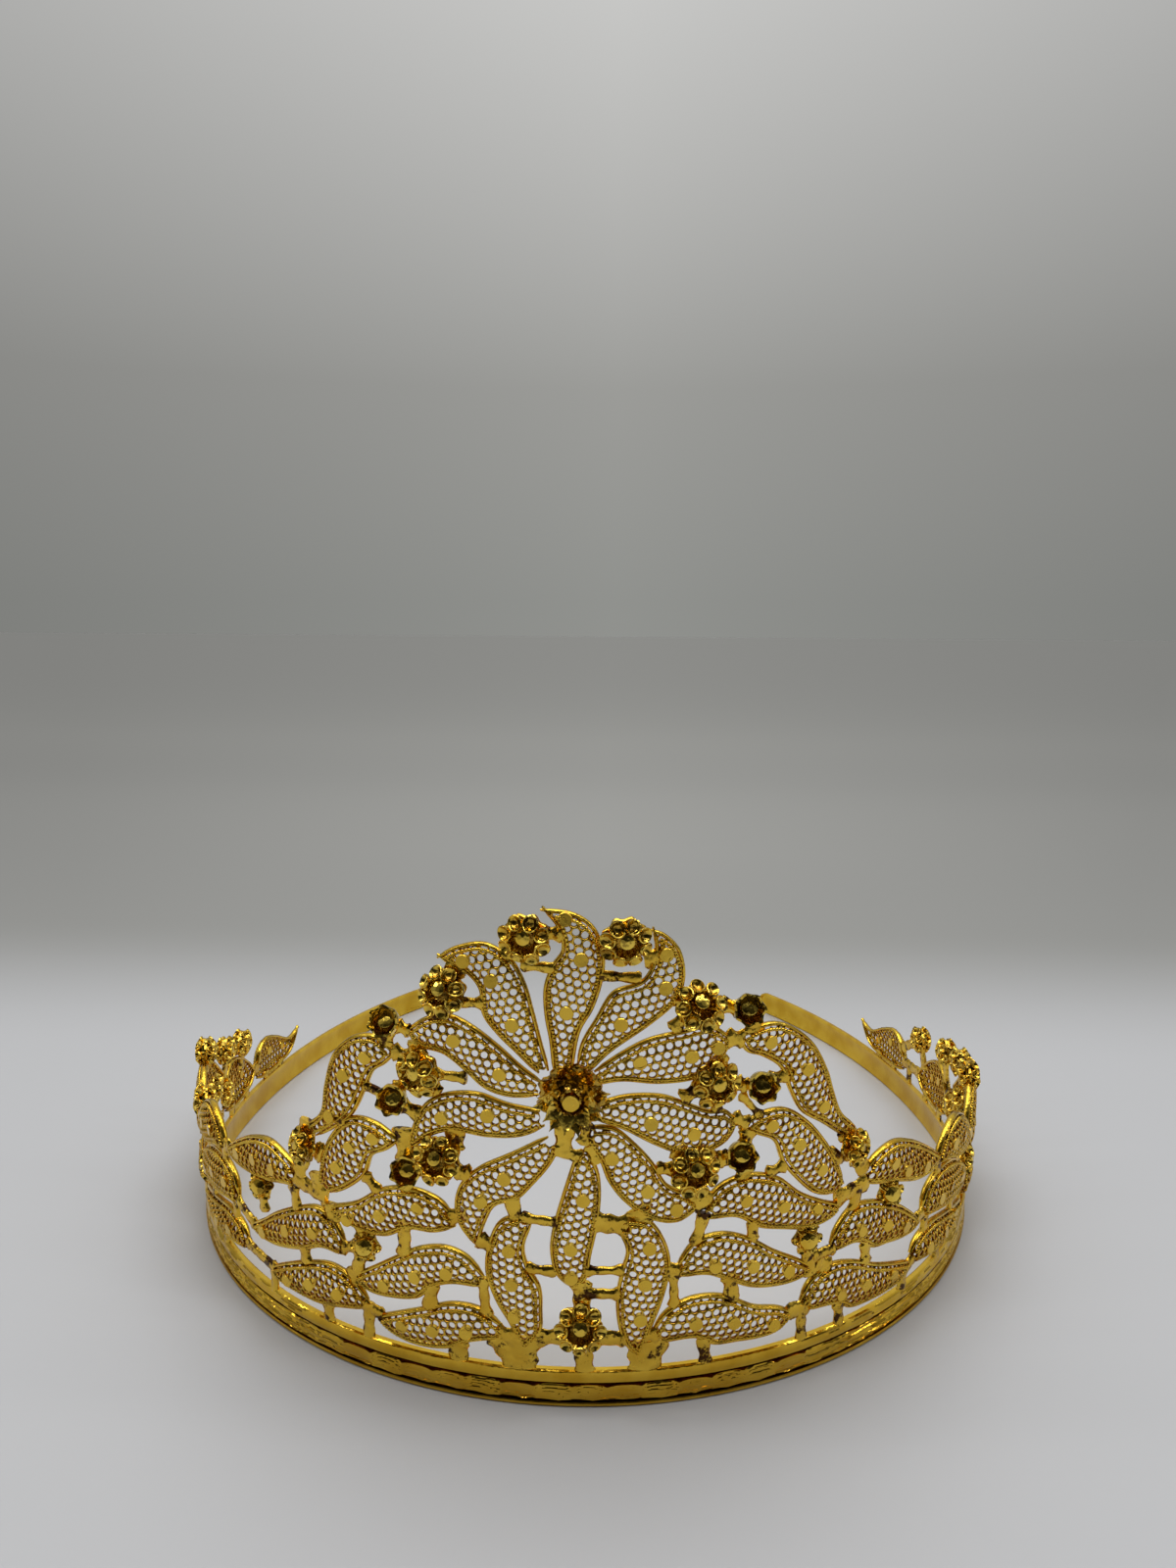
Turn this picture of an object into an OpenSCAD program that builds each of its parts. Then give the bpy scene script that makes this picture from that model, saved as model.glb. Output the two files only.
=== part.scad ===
// Filigree crown: an open horseshoe band carries a curved openwork panel of pierced leaves,
// beaded flowers and small cups, highest at the front and low at the rear of each side.
// Places on the panel are [s, z]: s runs along the wall from the front centre, positive to
// the wearer's left, and z is the height above the band's underside.

/* [Band] */
// Outside radius of the band's front half circle, mm
band_radius = 70; // [60:1:80]
// Outside radius of the curve of each rear arm, mm
arm_radius = 116; // [90:1:160]
// Angle that each rear arm turns through, degrees
arm_sweep = 38; // [20:1:45]
// Height of the band, mm
band_height = 5.2; // [4:0.1:8]
// Thickness of the band, mm
band_thickness = 1.3; // [1:0.1:3]
// Depth of the two lines cut round the outside of the band, mm
line_depth = 0.3; // [0.1:0.05:0.5]

/* [Leaves] */
// Thickness of the pierced sheet of a leaf, mm
sheet_thickness = 0.7; // [0.5:0.1:1.5]
// Thickness of the raised rim of a leaf, mm
rim_thickness = 1.4; // [0.8:0.1:2.5]
// Width of the raised rim of a leaf, mm
rim_width = 0.7; // [0.4:0.05:1.2]
// Diameter of the flat discs set in a leaf, mm
disc_diameter = 1.8; // [1:0.1:2.5]
// Thickness of the flat ties between the leaves, mm
tie_thickness = 1; // [0.6:0.1:1.5]

/* [Flowers] */
// Diameter of the beads round a large flower, mm
large_bead = 2.1; // [1.4:0.1:3]
// Diameter across the bead centres of a large flower, mm
large_circle = 5.4; // [4:0.1:7]
// Number of beads round a large flower
large_count = 8; // [6:1:10]
// Diameter of the beads round a small flower, mm
small_bead = 1.8; // [1:0.1:2.4]
// Diameter across the bead centres of a small flower, mm
small_circle = 4; // [3:0.1:6]
// Number of beads round a small flower
small_count = 7; // [5:1:9]
// Diameter of a ring cup, mm
cup_diameter = 4.2; // [3:0.1:6]
// Distance that a flower stands out from the panel, mm
flower_height = 2.6; // [1.5:0.1:4]
// Distance that a flower on a flank stands out from each face of the panel, mm
flank_height = 1.8; // [1.4:0.1:2.6]
// Radius of the star at the middle of the rosette, mm
star_radius = 4.6; // [3.5:0.1:6]

/* [Hidden] */
$fn = 48;

degrees = 180 / PI;
// The middle of the panel's thickness stands this far inside the band's outer face
wall_inset = 0.7;
wall_radius = band_radius - wall_inset;
wall_arm_radius = arm_radius - wall_inset;
half_arc = wall_radius * PI / 2;
// The panel never reaches above this height
panel_top = 80;
// The star at the middle of the rosette: two rings of petals that lift outwards
star_points = 8;
petal_thickness = 0.5;
outer_lift = 12;
inner_lift = 30;
inner_ratio = 0.82;
backing_ratio = 0.9;
star_rise = 0.7;
// The object is centred front to back, star and arm ends included
front_reach = wall_radius + star_rise + star_radius * inner_ratio * sin(inner_lift)
    + petal_thickness * cos(inner_lift);
rear_reach = arm_radius * sin(arm_sweep) + band_height / 2 * cos(arm_sweep);
centre_shift = (front_reach - rear_reach) / 2;

// ---- Outlines of the leaves: [one edge, the other edge, tip], the edges from the base on ----
petal_shapes = [
    [
        [[0, 46.4], [0.9, 51.7], [2.6, 55], [3.7, 58.6], [3.9, 62], [2.7, 65.4], [0, 67.3]],
        [[-2.5, 46.4], [-2.9, 50.6], [-3.5, 54], [-3.6, 57.6], [-2.6, 60.6], [-1.4, 62.6], [-2, 65.4]],
        [-4, 67.8]
    ],
    [
        [[2, 46.4], [4.9, 49.4], [9.7, 52.8], [12.9, 55.6], [14, 58.8], [13.4, 62.2], [11.6, 64.3]],
        [[0.4, 47.4], [1.1, 50.6], [2.8, 53.7], [4.9, 57.2], [8.4, 58.5], [9.8, 60.6], [10.1, 63]],
        [9.6, 65.3]
    ],
    [
        [[2.4, 44.8], [6.2, 45.4], [11, 44.9], [15.6, 45.2], [18.4, 46.6]],
        [[2.6, 46.9], [6.3, 49.4], [9.6, 51], [13.6, 51.8], [17.4, 52.3]],
        [20.6, 50.2]
    ],
    [
        [[2.4, 40.4], [6.3, 39], [10.2, 36.8], [13.6, 35.3], [17.2, 35.1], [20, 36.3]],
        [[3.2, 42.7], [7, 43.6], [11.4, 43.4], [14.8, 42], [17.4, 40.9], [19.8, 40.6]],
        [21.7, 38.8]
    ],
    [
        [[2.2, 39.6], [5.4, 39.2], [8.2, 36.8], [10.4, 34.2], [12.2, 31.2], [14.8, 29.7]],
        [[1.4, 37.6], [3.4, 34.8], [4.6, 31.8], [6.8, 28.9], [10.2, 26.4], [13.8, 25.8]],
        [17, 27.8]
    ],
    [
        [[-3.2, 38], [-7.6, 35.5], [-12, 33.1], [-14.6, 30.4], [-15.4, 27.4], [-14.8, 24.6]],
        [[-1.4, 36.6], [-2.8, 33.9], [-5, 31.1], [-7, 29], [-9.8, 27.9], [-11.2, 25.4]],
        [-12.4, 21.6]
    ],
    [
        [[-4, 41.5], [-8.2, 42.1], [-12.1, 43.2], [-16, 42.8], [-19, 41.2], [-20.8, 38.4]],
        [[-3.4, 39.1], [-6.6, 37.7], [-10.8, 37.3], [-15.2, 37.6], [-18.2, 36.6], [-20.2, 35]],
        [-22.2, 33.8]
    ],
    [
        [[-3.6, 45.2], [-6.4, 47.2], [-9.3, 49.7], [-12.7, 52.1], [-15.8, 53.3], [-19, 52.6]],
        [[-4.2, 43.2], [-8, 43], [-11.2, 43.9], [-13.8, 46], [-16.6, 47.9], [-19.8, 48.5]],
        [-22, 50.4]
    ],
    [
        [[-2.8, 46.8], [-3.8, 50.4], [-4.8, 54.4], [-5.9, 58.2], [-7.8, 61.4], [-11, 63.1], [-14.6, 62.4]],
        [[-4.4, 46.2], [-7.1, 48.9], [-9.6, 51.3], [-11.4, 53.8], [-11.8, 57], [-13.4, 58.9],
            [-15.4, 59.8]],
        [-17.4, 60.8]
    ]
];
centre_shape = [
    [[2, 36.2], [3.4, 33.2], [3.7, 29.6], [3.3, 25.4], [2.5, 21.4], [2.1, 18.6]],
    [[0.6, 36.2], [-0.5, 32.6], [-1.6, 28.8], [-2.5, 25.2], [-2.8, 22], [-2, 18.8]],
    [0.4, 16.6]
];
lyre_left = [
    [[-6.6, 27.2], [-9.5, 25.7], [-11, 22.2], [-11.3, 18.4], [-10, 14.5], [-8.2, 11.4]],
    [[-5, 25.8], [-6.1, 22.6], [-5.6, 19.8], [-4, 16.8], [-3.8, 13.4], [-4, 10.4]],
    [-6.2, 7.4]
];
lyre_right = [
    [[6.8, 27.3], [9.8, 26.5], [11.9, 23.7], [12.9, 20], [12.1, 15.4], [10.7, 11.4]],
    [[5.8, 25.2], [7, 22.2], [6.4, 19.4], [5.8, 15.8], [6, 12], [6.9, 9]],
    [9, 6.4]
];

left_crest = [
    [[-39, 33.6], [-36, 36.3], [-35.1, 40.4], [-33.4, 45.2], [-30, 48.3], [-26.4, 49]],
    [[-37, 32.2], [-33.6, 34.4], [-30.4, 37.2], [-28.4, 40.8], [-26.9, 43.9], [-25, 45.3]],
    [-23.2, 47.2]
];
left_rising = [
    [[-36.9, 25.6], [-36, 30], [-34, 33.8], [-30.8, 36.8], [-26.8, 36.9]],
    [[-34.6, 24.5], [-31.6, 26.2], [-28.7, 28.8], [-27.4, 31.9], [-25, 33.3]],
    [-23, 35]
];
left_high_1 = [
    [[-15.5, 25.6], [-17.6, 27.8], [-21.6, 28.7], [-26, 27.7], [-30, 24.9], [-33.4, 23.4]],
    [[-15.3, 24], [-18.4, 22.9], [-22, 22.6], [-25.6, 20.8], [-29.6, 20.6], [-33.4, 21.3]],
    [-36.4, 22.6]
];
left_high_2 = [
    [[-41, 25.8], [-43.6, 27.5], [-47.6, 28.6], [-52, 27.6], [-56.4, 25.4]],
    [[-41.6, 23.4], [-44.6, 22.8], [-48.6, 21.8], [-53, 21.2], [-57.4, 21.2]],
    [-61, 22.6]
];
left_mid_1 = [
    [[-11.4, 17.8], [-13.8, 20.3], [-17, 21.2], [-20.8, 20.3], [-24.4, 18.1], [-28, 15.7]],
    [[-11.6, 16], [-15.6, 16], [-18.4, 15], [-20.8, 12.9], [-24.6, 12], [-28.4, 11.9]],
    [-31.6, 13.4]
];
left_mid_2 = [
    [[-32.2, 17.8], [-34.2, 20.7], [-37.6, 21.8], [-41.6, 20.4], [-46.4, 17.8], [-50.4, 15]],
    [[-32.6, 15.8], [-36.6, 15.8], [-40.2, 14.2], [-44.4, 12.9], [-47.6, 12.2], [-50.6, 12.2]],
    [-53.8, 13]
];
left_low_1 = [
    [[-8.8, 10.8], [-12, 13], [-16, 13.2], [-20, 11.7], [-24.4, 9.9]],
    [[-8.8, 9], [-13.2, 8], [-16.6, 6.4], [-21, 5.9], [-24.8, 6.6]],
    [-27.8, 8.4]
];
left_low_2 = [
    [[-28.6, 10.6], [-31.2, 13], [-35.4, 13.9], [-40, 12.6], [-44.8, 10.4]],
    [[-28.8, 9], [-32.6, 8], [-37, 7], [-41.4, 6.8], [-45.6, 7]],
    [-48.8, 8.2]
];

right_crest = [
    [[40.6, 34.4], [37.6, 37.2], [36, 40.8], [34.8, 44], [32.2, 48.2], [28.2, 51.2], [24.8, 51.7]],
    [[38.4, 33.2], [34.4, 36.2], [30.9, 38.6], [28.9, 42], [27.4, 45.3], [24.6, 47.3], [22.4, 48.2]],
    [21, 50.4]
];
right_rising = [
    [[38.8, 26.6], [37.4, 30], [35, 33.8], [32, 37.2], [28.4, 39.6], [24.6, 39.5]],
    [[37, 25.2], [33.4, 26.4], [30.2, 29.4], [28.2, 32], [26.8, 35.2], [24.2, 36.6]],
    [21.6, 37.9]
];
right_high_1 = [
    [[17, 27.6], [19.2, 30.2], [23.2, 31.3], [27.6, 30.1], [31.4, 27], [35.4, 24.8]],
    [[17.2, 25.6], [21.6, 25.4], [24.8, 23.4], [28.6, 22.3], [32.8, 21.4], [36.4, 21.8]],
    [38.8, 23.4]
];
right_high_2 = [
    [[42.8, 27.2], [45, 28.9], [49, 29.7], [53.2, 28.4], [57.6, 26]],
    [[42.8, 25], [46.4, 23.9], [50.4, 22.8], [55, 21.3], [59, 20.9]],
    [63.2, 22.4]
];
right_mid_1 = [
    [[13.4, 19.2], [15.8, 22.6], [19.6, 23.5], [23.6, 22.2], [27.6, 19.5], [31.4, 17.3]],
    [[13.8, 17.8], [17.6, 17.8], [20.6, 16.5], [24.2, 14.8], [28.2, 14.1], [31.6, 14.2]],
    [34.4, 15.2]
];
right_mid_2 = [
    [[36.6, 18], [38.2, 20.6], [41, 22.5], [45.4, 21.8], [50.2, 19.6], [54, 17]],
    [[37.4, 16.5], [41.6, 16.6], [45, 14.6], [48.4, 14], [51.8, 13.4], [54.4, 13.4]],
    [57, 14.4]
];
right_low_1 = [
    [[10.4, 10.4], [12.4, 13.2], [16, 14.8], [20.4, 14.4], [24.8, 12], [28.6, 10.9]],
    [[11.4, 8.6], [16.2, 8.8], [19, 7.4], [22.4, 7.2], [25.6, 7], [28.6, 7.4]],
    [31.2, 9.4]
];
right_low_2 = [
    [[31.8, 10.8], [33.6, 13.6], [37.4, 14.8], [41.6, 13.9], [46, 11.8], [50.6, 10.1]],
    [[32.8, 9], [37.8, 8.4], [41, 6.8], [44.4, 6.4], [48, 6.3], [51.8, 6.6]],
    [55, 8.6]
];

// The leaves of the two flanks are alike and are drawn for the right-hand one
side_high = [
    [[62, 22.2], [64.6, 25], [69, 26.4], [74, 24.6], [79, 21]],
    [[62.2, 20.8], [66, 20], [70, 18.4], [74.6, 17.2], [79.6, 16.6]],
    [84, 17.4]
];
side_mid = [
    [[57.4, 15.6], [59, 18.6], [63, 20], [68, 19.4], [73.6, 17]],
    [[57.8, 14], [61, 13.4], [65, 12.4], [69.6, 11.6], [74, 11.2]],
    [79, 13.4]
];
side_low = [
    [[54.8, 9.8], [57, 11.6], [61, 12.2], [66, 11.2], [72, 9.6]],
    [[55.4, 7.8], [59, 7], [64, 6.2], [69, 6.2], [74, 6.6]],
    [78, 8]
];
ear_high = [
    [[81, 17], [83.6, 21.4], [88, 24], [93.6, 23.6], [99.4, 20]],
    [[81.4, 14.4], [86, 13], [90, 12.4], [94.4, 12.2], [100, 12.8]],
    [105, 15.4]
];
ear_low = [
    [[79.6, 9.6], [82, 12], [86, 12.4], [91, 12], [97, 11.6]],
    [[80.4, 7], [84, 6.4], [88.6, 6], [93, 6], [98, 6]],
    [103.6, 8.4]
];
rear_shape = [
    [[104.8, 11.4], [106.4, 14.6], [110, 16], [114, 14.8], [118, 12]],
    [[105, 7.4], [108, 6.4], [111.6, 6], [115, 6.2], [118.2, 6.8]],
    [120.6, 9]
];
end_shape = [
    [[121.2, 9.2], [123, 12.4], [126.6, 13.8], [131, 12.4], [136, 10]],
    [[121.4, 6.6], [124, 5.9], [128, 5.6], [132.4, 5.7], [136.6, 6.8]],
    [140, 11]
];
// The right-hand rear leaves sit this much further back than the left-hand ones
right_rear_step = 4;
right_end_step = 10;

// ---- Flowers, cups and studs: [s, z] ----
large_places = [
    [-5.6, 64.4], [6.3, 64.2], [-16, 56.3], [15.6, 54.7], [-19.4, 45.6], [17.8, 45], [-17.1, 33.6],
    [15.4, 33]
];
shoulder_places = [[-38.8, 30.5], [39.6, 31.8]];
cup_places = [[-24.4, 51], [22.4, 54], [-23.7, 41], [24.6, 43.5], [-21.9, 31.4], [22, 34.3]];
stud_places = [[-28.8, 18.6], [32.6, 20], [-50, 20.6], [48.4, 22]];
base_place = [1.2, 11.6];
left_flank_places = [[75, 12.6], [82, 21], [92.6, 25.2], [107, 19.2], [115.4, 17.2]];
right_flank_places = [[80, 14], [90, 24.4], [101.6, 21.6], [111, 19.6], [124.4, 16.4]];
// The same on both flanks, on the inside of the wall
inner_flank_places = [[91, 15.4], [97.6, 16], [104.6, 11.6]];
rosette_place = [-0.1, 43.4];

// ---- Ties: [s, z at one end, s, z at the other end, width] ----
centre_ties = [
    [-9.8, 8.8, -7.6, 5.6, 2.6], [11.8, 8.6, 10.6, 5.6, 2], [-6.4, 9, -6.8, 4.6, 4.4],
    [1.5, 9, 1.8, 4.6, 2.4], [9.4, 8.6, 9.6, 4.6, 4], [-1, 10, -4.2, 9.6, 2.2],
    [3.8, 9.8, 6.6, 9.6, 2], [1.2, 17.4, 1.4, 13.6, 2.2], [-5.6, 19.4, -2.4, 19.2, 1.3],
    [2.2, 19.4, 6.4, 19.4, 1.1], [2.2, 16.2, 6, 16, 1.4], [-6.2, 26.5, -1.8, 26.1, 1.3],
    [3.3, 26.2, 7, 25.6, 2.6], [-7.8, 28.8, -7.2, 26.4, 1.8], [-11.9, 22.8, -10.6, 22.2, 1.8],
    [8.6, 27.6, 9.2, 26.2, 3], [2.4, 36.4, 3, 34.8, 1.3], [-0.9, 39, -1.2, 35.8, 2.2],
    [1.8, 39.4, 1.6, 37.4, 1.4], [-1.8, 36.2, 0.8, 35.2, 1.6], [-6, 60.5, -2.4, 60.1, 1.3],
    [3.4, 59.3, 8, 58.9, 1.3], [9.2, 61.4, 10.6, 61.6, 2], [-3.4, 64.6, -1.6, 64.6, 1.6],
    [3.2, 63.4, 4.4, 63.6, 1.4], [-8.6, 61.4, -7.4, 62, 1.6], [-14.6, 55, -11.4, 55.2, 1.3],
    [-15.6, 59.8, -13.8, 59, 1.4], [12.8, 52.2, 14.2, 54, 1.6], [17.6, 52, 17.2, 53.4, 2],
    [12.8, 56.4, 13.8, 56.2, 2], [-17.2, 52.6, -16.8, 54.4, 2.2], [-20.4, 48.8, -20.2, 47.4, 2.2],
    [-17.6, 45, -14, 45, 1.3], [14.2, 42.8, 16, 43.8, 1.8], [18.6, 40.8, 18.6, 42.6, 1],
    [19, 47.8, 18.8, 46.8, 1.6], [-15.4, 35.6, -15.2, 37.8, 2.4], [-18, 42.6, -18.4, 43.4, 2],
    [-14.8, 32, -13.6, 31.8, 2], [12.8, 33.2, 11.2, 33.4, 1.4], [13.6, 35.6, 14.2, 34.8, 2],
    [17.4, 35.4, 17, 34.8, 3], [15.8, 28.8, 15.6, 31, 1.8], [16.2, 28, 18, 28.4, 2.2],
    [-14.6, 26, -16.2, 25.4, 1.8]
];
left_ties = [
    [-15.2, 7.2, -15.2, 4.6, 2.6], [-28.7, 9.6, -28.8, 4.6, 1.8], [-36, 7.4, -35.8, 4.6, 1.8],
    [-47.6, 7.6, -47.8, 4.6, 1.5], [-9.6, 9.8, -7.4, 9.2, 2.2], [-26.8, 9, -29.2, 9.6, 1.5],
    [-11.7, 17, -11.3, 12.4, 1.4], [-19, 15.2, -19.1, 12, 2], [-22.8, 23, -22.8, 19, 1.9],
    [-29.6, 19.6, -29.8, 21, 1.6], [-30.6, 17.8, -32.8, 17.2, 1.6], [-29.8, 17, -30.6, 13.8, 2],
    [-31.4, 14, -31.2, 12.2, 1.6], [-35, 22.6, -34.8, 20.8, 2.6], [-41.4, 24.6, -36, 23.8, 2.4],
    [-37.2, 26.4, -37.2, 23.8, 2.4], [-42.2, 23, -41.6, 20.2, 1.6], [-38.8, 33.8, -39, 32.4, 2.6],
    [-36.4, 30, -37, 30.2, 2.4], [-32.6, 36.2, -32, 35.2, 1.6], [-41, 26, -40, 28.2, 2.4],
    [-23.4, 47.2, -21.6, 46.8, 1.8], [-24.8, 50, -25, 48.4, 2.2], [-21.6, 50.4, -22.8, 50.8, 1.4],
    [-23, 42.4, -21.8, 43.6, 1.6], [-22.4, 40, -20.4, 39.2, 1.8], [-28.2, 41.7, -25.2, 41, 1.2],
    [-22.6, 36.4, -22.2, 32.6, 2.6], [-19.4, 32.8, -20.2, 32, 1.8], [-22, 29.8, -22.2, 28, 1.6],
    [-28.4, 28.6, -26.8, 27.2, 1.4], [-40.4, 14.2, -40, 12.4, 1.8], [-49.6, 17, -50, 18.6, 1.8],
    [-50.6, 21.2, -50.4, 22, 2], [-47.6, 8.4, -55, 9, 1.6], [-53, 13.2, -57.8, 14.6, 1.6],
    [-60.6, 22.2, -62.4, 21.6, 1.8], [-62.6, 21, -62.8, 19.4, 1.8], [-59, 14, -58.8, 11.4, 1.8],
    [-64, 6.8, -64, 4.6, 2], [-74, 7, -74, 4.6, 2], [-70, 12, -70, 10, 1.8],
    [-72, 17.6, -71, 16, 1.8], [-83, 18.6, -82.6, 16.4, 3], [-78.6, 13.2, -80.6, 9.6, 2.4],
    [-88, 6.8, -88, 4.6, 2], [-98, 6.8, -98, 4.6, 2], [-91, 12.8, -91, 10.8, 1.8],
    [-92.2, 22, -92.4, 23.2, 2], [-105.6, 13.4, -106.6, 17.4, 2.4], [-103.6, 14, -105.4, 10.8, 2.4],
    [-109, 6.9, -109, 4.6, 2], [-116.6, 6.9, -116.6, 4.6, 2], [-114.8, 12.6, -115.2, 15, 2.4],
    [-120.6, 9, -122, 9, 2], [-126, 6.2, -126, 4.6, 1.8], [-132.4, 6.2, -132.4, 4.6, 1.8]
];
right_ties = [
    [17.6, 8.2, 18, 4.6, 1.6], [32.3, 9.8, 32.4, 4.6, 1.6], [38.9, 8, 39.1, 4.6, 1.6],
    [53, 7, 53, 4.6, 2], [9.8, 9.8, 11, 9.8, 1.8], [30.4, 9.6, 33, 9.8, 2.2],
    [13.3, 18.2, 13.5, 14.2, 1.2], [12.4, 19, 14, 18.8, 1.8], [21.2, 16.6, 21.4, 13.8, 2],
    [17.2, 26.2, 16.3, 22.6, 1.6], [24.2, 24, 24.2, 22, 1.4], [33, 21.6, 32.8, 21, 2.6],
    [32.8, 18.8, 33.6, 14.8, 2.4], [34.2, 16.9, 37.2, 17, 1.5], [34.6, 15.4, 36.4, 14.4, 2.6],
    [37.8, 24.4, 43, 25.2, 2.4], [41.4, 25, 41, 22.2, 2], [39, 33.8, 39, 33, 2.6],
    [37, 30.6, 37.4, 31, 3], [42.6, 27.4, 41, 29.4, 2.2], [20, 50.2, 21.6, 50, 2],
    [23.4, 52, 23.4, 51, 2.2], [18.8, 54.8, 21, 54.2, 1.8], [21.4, 44, 22.4, 43.6, 1.6],
    [26, 43.8, 28.8, 44.2, 1.8], [21.2, 39.2, 22.6, 38.4, 1.6], [22.2, 42, 24.6, 39.2, 0.9],
    [19.2, 33.8, 20.2, 34, 1.8], [22.6, 32.2, 22.6, 30.8, 2], [22.6, 35.6, 23, 37, 1.8],
    [26.4, 30.8, 28.4, 31.4, 1.4], [43.8, 15.6, 43.8, 13, 1.8], [53, 7, 55.6, 8.4, 1.6],
    [56.4, 14.6, 58, 15, 1.6], [60.6, 22.2, 62.4, 21.6, 1.8], [62.6, 21, 62.8, 19.4, 1.8],
    [59, 14, 58.8, 11.4, 1.8], [64, 6.8, 64, 4.6, 2], [74, 7, 74, 4.6, 2], [70, 12, 70, 10, 1.8],
    [72, 17.6, 71, 16, 1.8], [83, 18.6, 82.6, 16.4, 3], [78.6, 13.2, 80.6, 9.6, 2.4],
    [88, 6.8, 88, 4.6, 2], [98, 6.8, 98, 4.6, 2], [91, 12.8, 91, 10.8, 1.8], [90, 22.4, 90, 23, 2],
    [110.4, 14.2, 110.8, 17.8, 2.4], [99.8, 17.6, 101, 20, 2.2], [103.4, 14.4, 109.4, 11.4, 2.4],
    [113, 6.9, 113, 4.6, 2], [120.6, 6.9, 120.6, 4.6, 2], [122, 11.4, 123.8, 15, 2.4],
    [124.6, 9, 131, 8.6, 2.2], [129, 8.6, 129, 4.6, 1.8], [136, 6.2, 136, 4.6, 1.8],
    [142.4, 6.2, 142.4, 4.6, 1.8], [126.6, 15, 132, 11.6, 2]
];

gold = [0.86, 0.66, 0.22];
deep_gold = [0.74, 0.53, 0.16];
pale_gold = [0.95, 0.79, 0.38];

// ---- Curves ----
// A smooth curve through the points of a list, with this many steps between two points
steps = 4;
function knot(p, i) = i < 0 ? 2 * p[0] - p[1]
    : i >= len(p) ? 2 * p[len(p) - 1] - p[len(p) - 2]
    : p[i];
function blend(a, b, c, d, t) = (2 * b + (c - a) * t + (2 * a - 5 * b + 4 * c - d) * t * t
    + (3 * b - a - 3 * c + d) * t * t * t) / 2;
function curve(p) = [
    for (i = [0 : len(p) - 2]) for (k = [0 : steps - 1])
        blend(knot(p, i - 1), knot(p, i), knot(p, i + 1), knot(p, i + 2), k / steps)
];
function backwards(p) = [for (i = [len(p) - 1 : -1 : 0]) p[i]];
function first_edge(leaf) = curve(concat(leaf[0], [leaf[2]]));
function second_edge(leaf) = curve(concat(leaf[1], [leaf[2]]));
function outline(leaf) = concat(first_edge(leaf), [leaf[2]], backwards(second_edge(leaf)));
// The outline drawn in by a distance from the edges and the base, without the narrow tip
function drawn_in(leaf, distance) =
    let (
        a = first_edge(leaf),
        b = second_edge(leaf),
        middle = (a + b) / 2,
        half = [for (i = [0 : len(a) - 1]) norm(a[i] - b[i]) / 2],
        from_base = (middle[1] - middle[0]) / norm(middle[1] - middle[0]) * distance,
        centre = concat([middle[0] + from_base], [for (i = [1 : len(a) - 1]) middle[i]]),
        kept = [for (i = [0 : len(a) - 1]) if (half[i] > 1.5 * distance) i]
    )
    concat(
        [for (i = kept) centre[i] + (a[i] - middle[i]) * (1 - distance / half[i])],
        backwards([for (i = kept) centre[i] + (b[i] - middle[i]) * (1 - distance / half[i])])
    );
function midline(leaf, i) = (first_edge(leaf)[i] + second_edge(leaf)[i]) / 2;
function moved(leaf, step) = [[for (p = leaf[0]) p + [step, 0]],
    [for (p = leaf[1]) p + [step, 0]], leaf[2] + [step, 0]];
function flipped(leaf) = [[for (p = leaf[0]) [-p[0], p[1]]],
    [for (p = leaf[1]) [-p[0], p[1]]], [-leaf[2][0], leaf[2][1]]];

// ---- Placing things on the wall: X along it, -Y outwards, Z up ----
function bend(s) = abs(s) <= half_arc ? wall_radius : wall_arm_radius;
module on_wall(s) {
    over = abs(s) - half_arc;
    side = s < 0 ? -1 : 1;
    turn = over <= 0 ? s / wall_radius * degrees
        : side * (90 + over / wall_arm_radius * degrees);
    centre_x = over <= 0 ? 0 : side * (wall_radius - wall_arm_radius);
    translate([centre_x, centre_shift, 0])
        rotate([0, 0, turn])
            translate([0, -bend(s), 0])
                children();
}

// A plate of the wall with the outline's points taken about s0, so thick either way
module plate(points, s0, thickness) {
    depth = 8;
    radius = bend(s0);
    flat = [for (p = points) [p[0] - s0, p[1]]];
    intersection() {
        translate([0, depth / 2, 0])
            rotate([90, 0, 0])
                linear_extrude(depth)
                    polygon(flat);
        translate([0, radius, 0])
            difference() {
                cylinder(r = radius + thickness / 2, h = panel_top);
                translate([0, 0, -1])
                    cylinder(r = radius - thickness / 2, h = panel_top + 2);
            }
    }
}

module leaf(shape) {
    s0 = midline(shape, 2 * steps)[0];
    edge_points = outline(shape);
    window_points = drawn_in(shape, rim_width);
    on_wall(s0) {
        difference() {
            plate(edge_points, s0, rim_thickness);
            plate(window_points, s0, rim_thickness + 1);
        }
        plate(drawn_in(shape, rim_width / 2), s0, sheet_thickness);
        for (i = [2 * steps, 3 * steps]) {
            spot = midline(shape, i);
            translate([spot[0] - s0, (spot[0] - s0) * (spot[0] - s0) / bend(s0) / 2, spot[1]])
                rotate([90, 0, 0])
                    cylinder(d = disc_diameter, h = rim_thickness, center = true);
        }
    }
}

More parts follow.
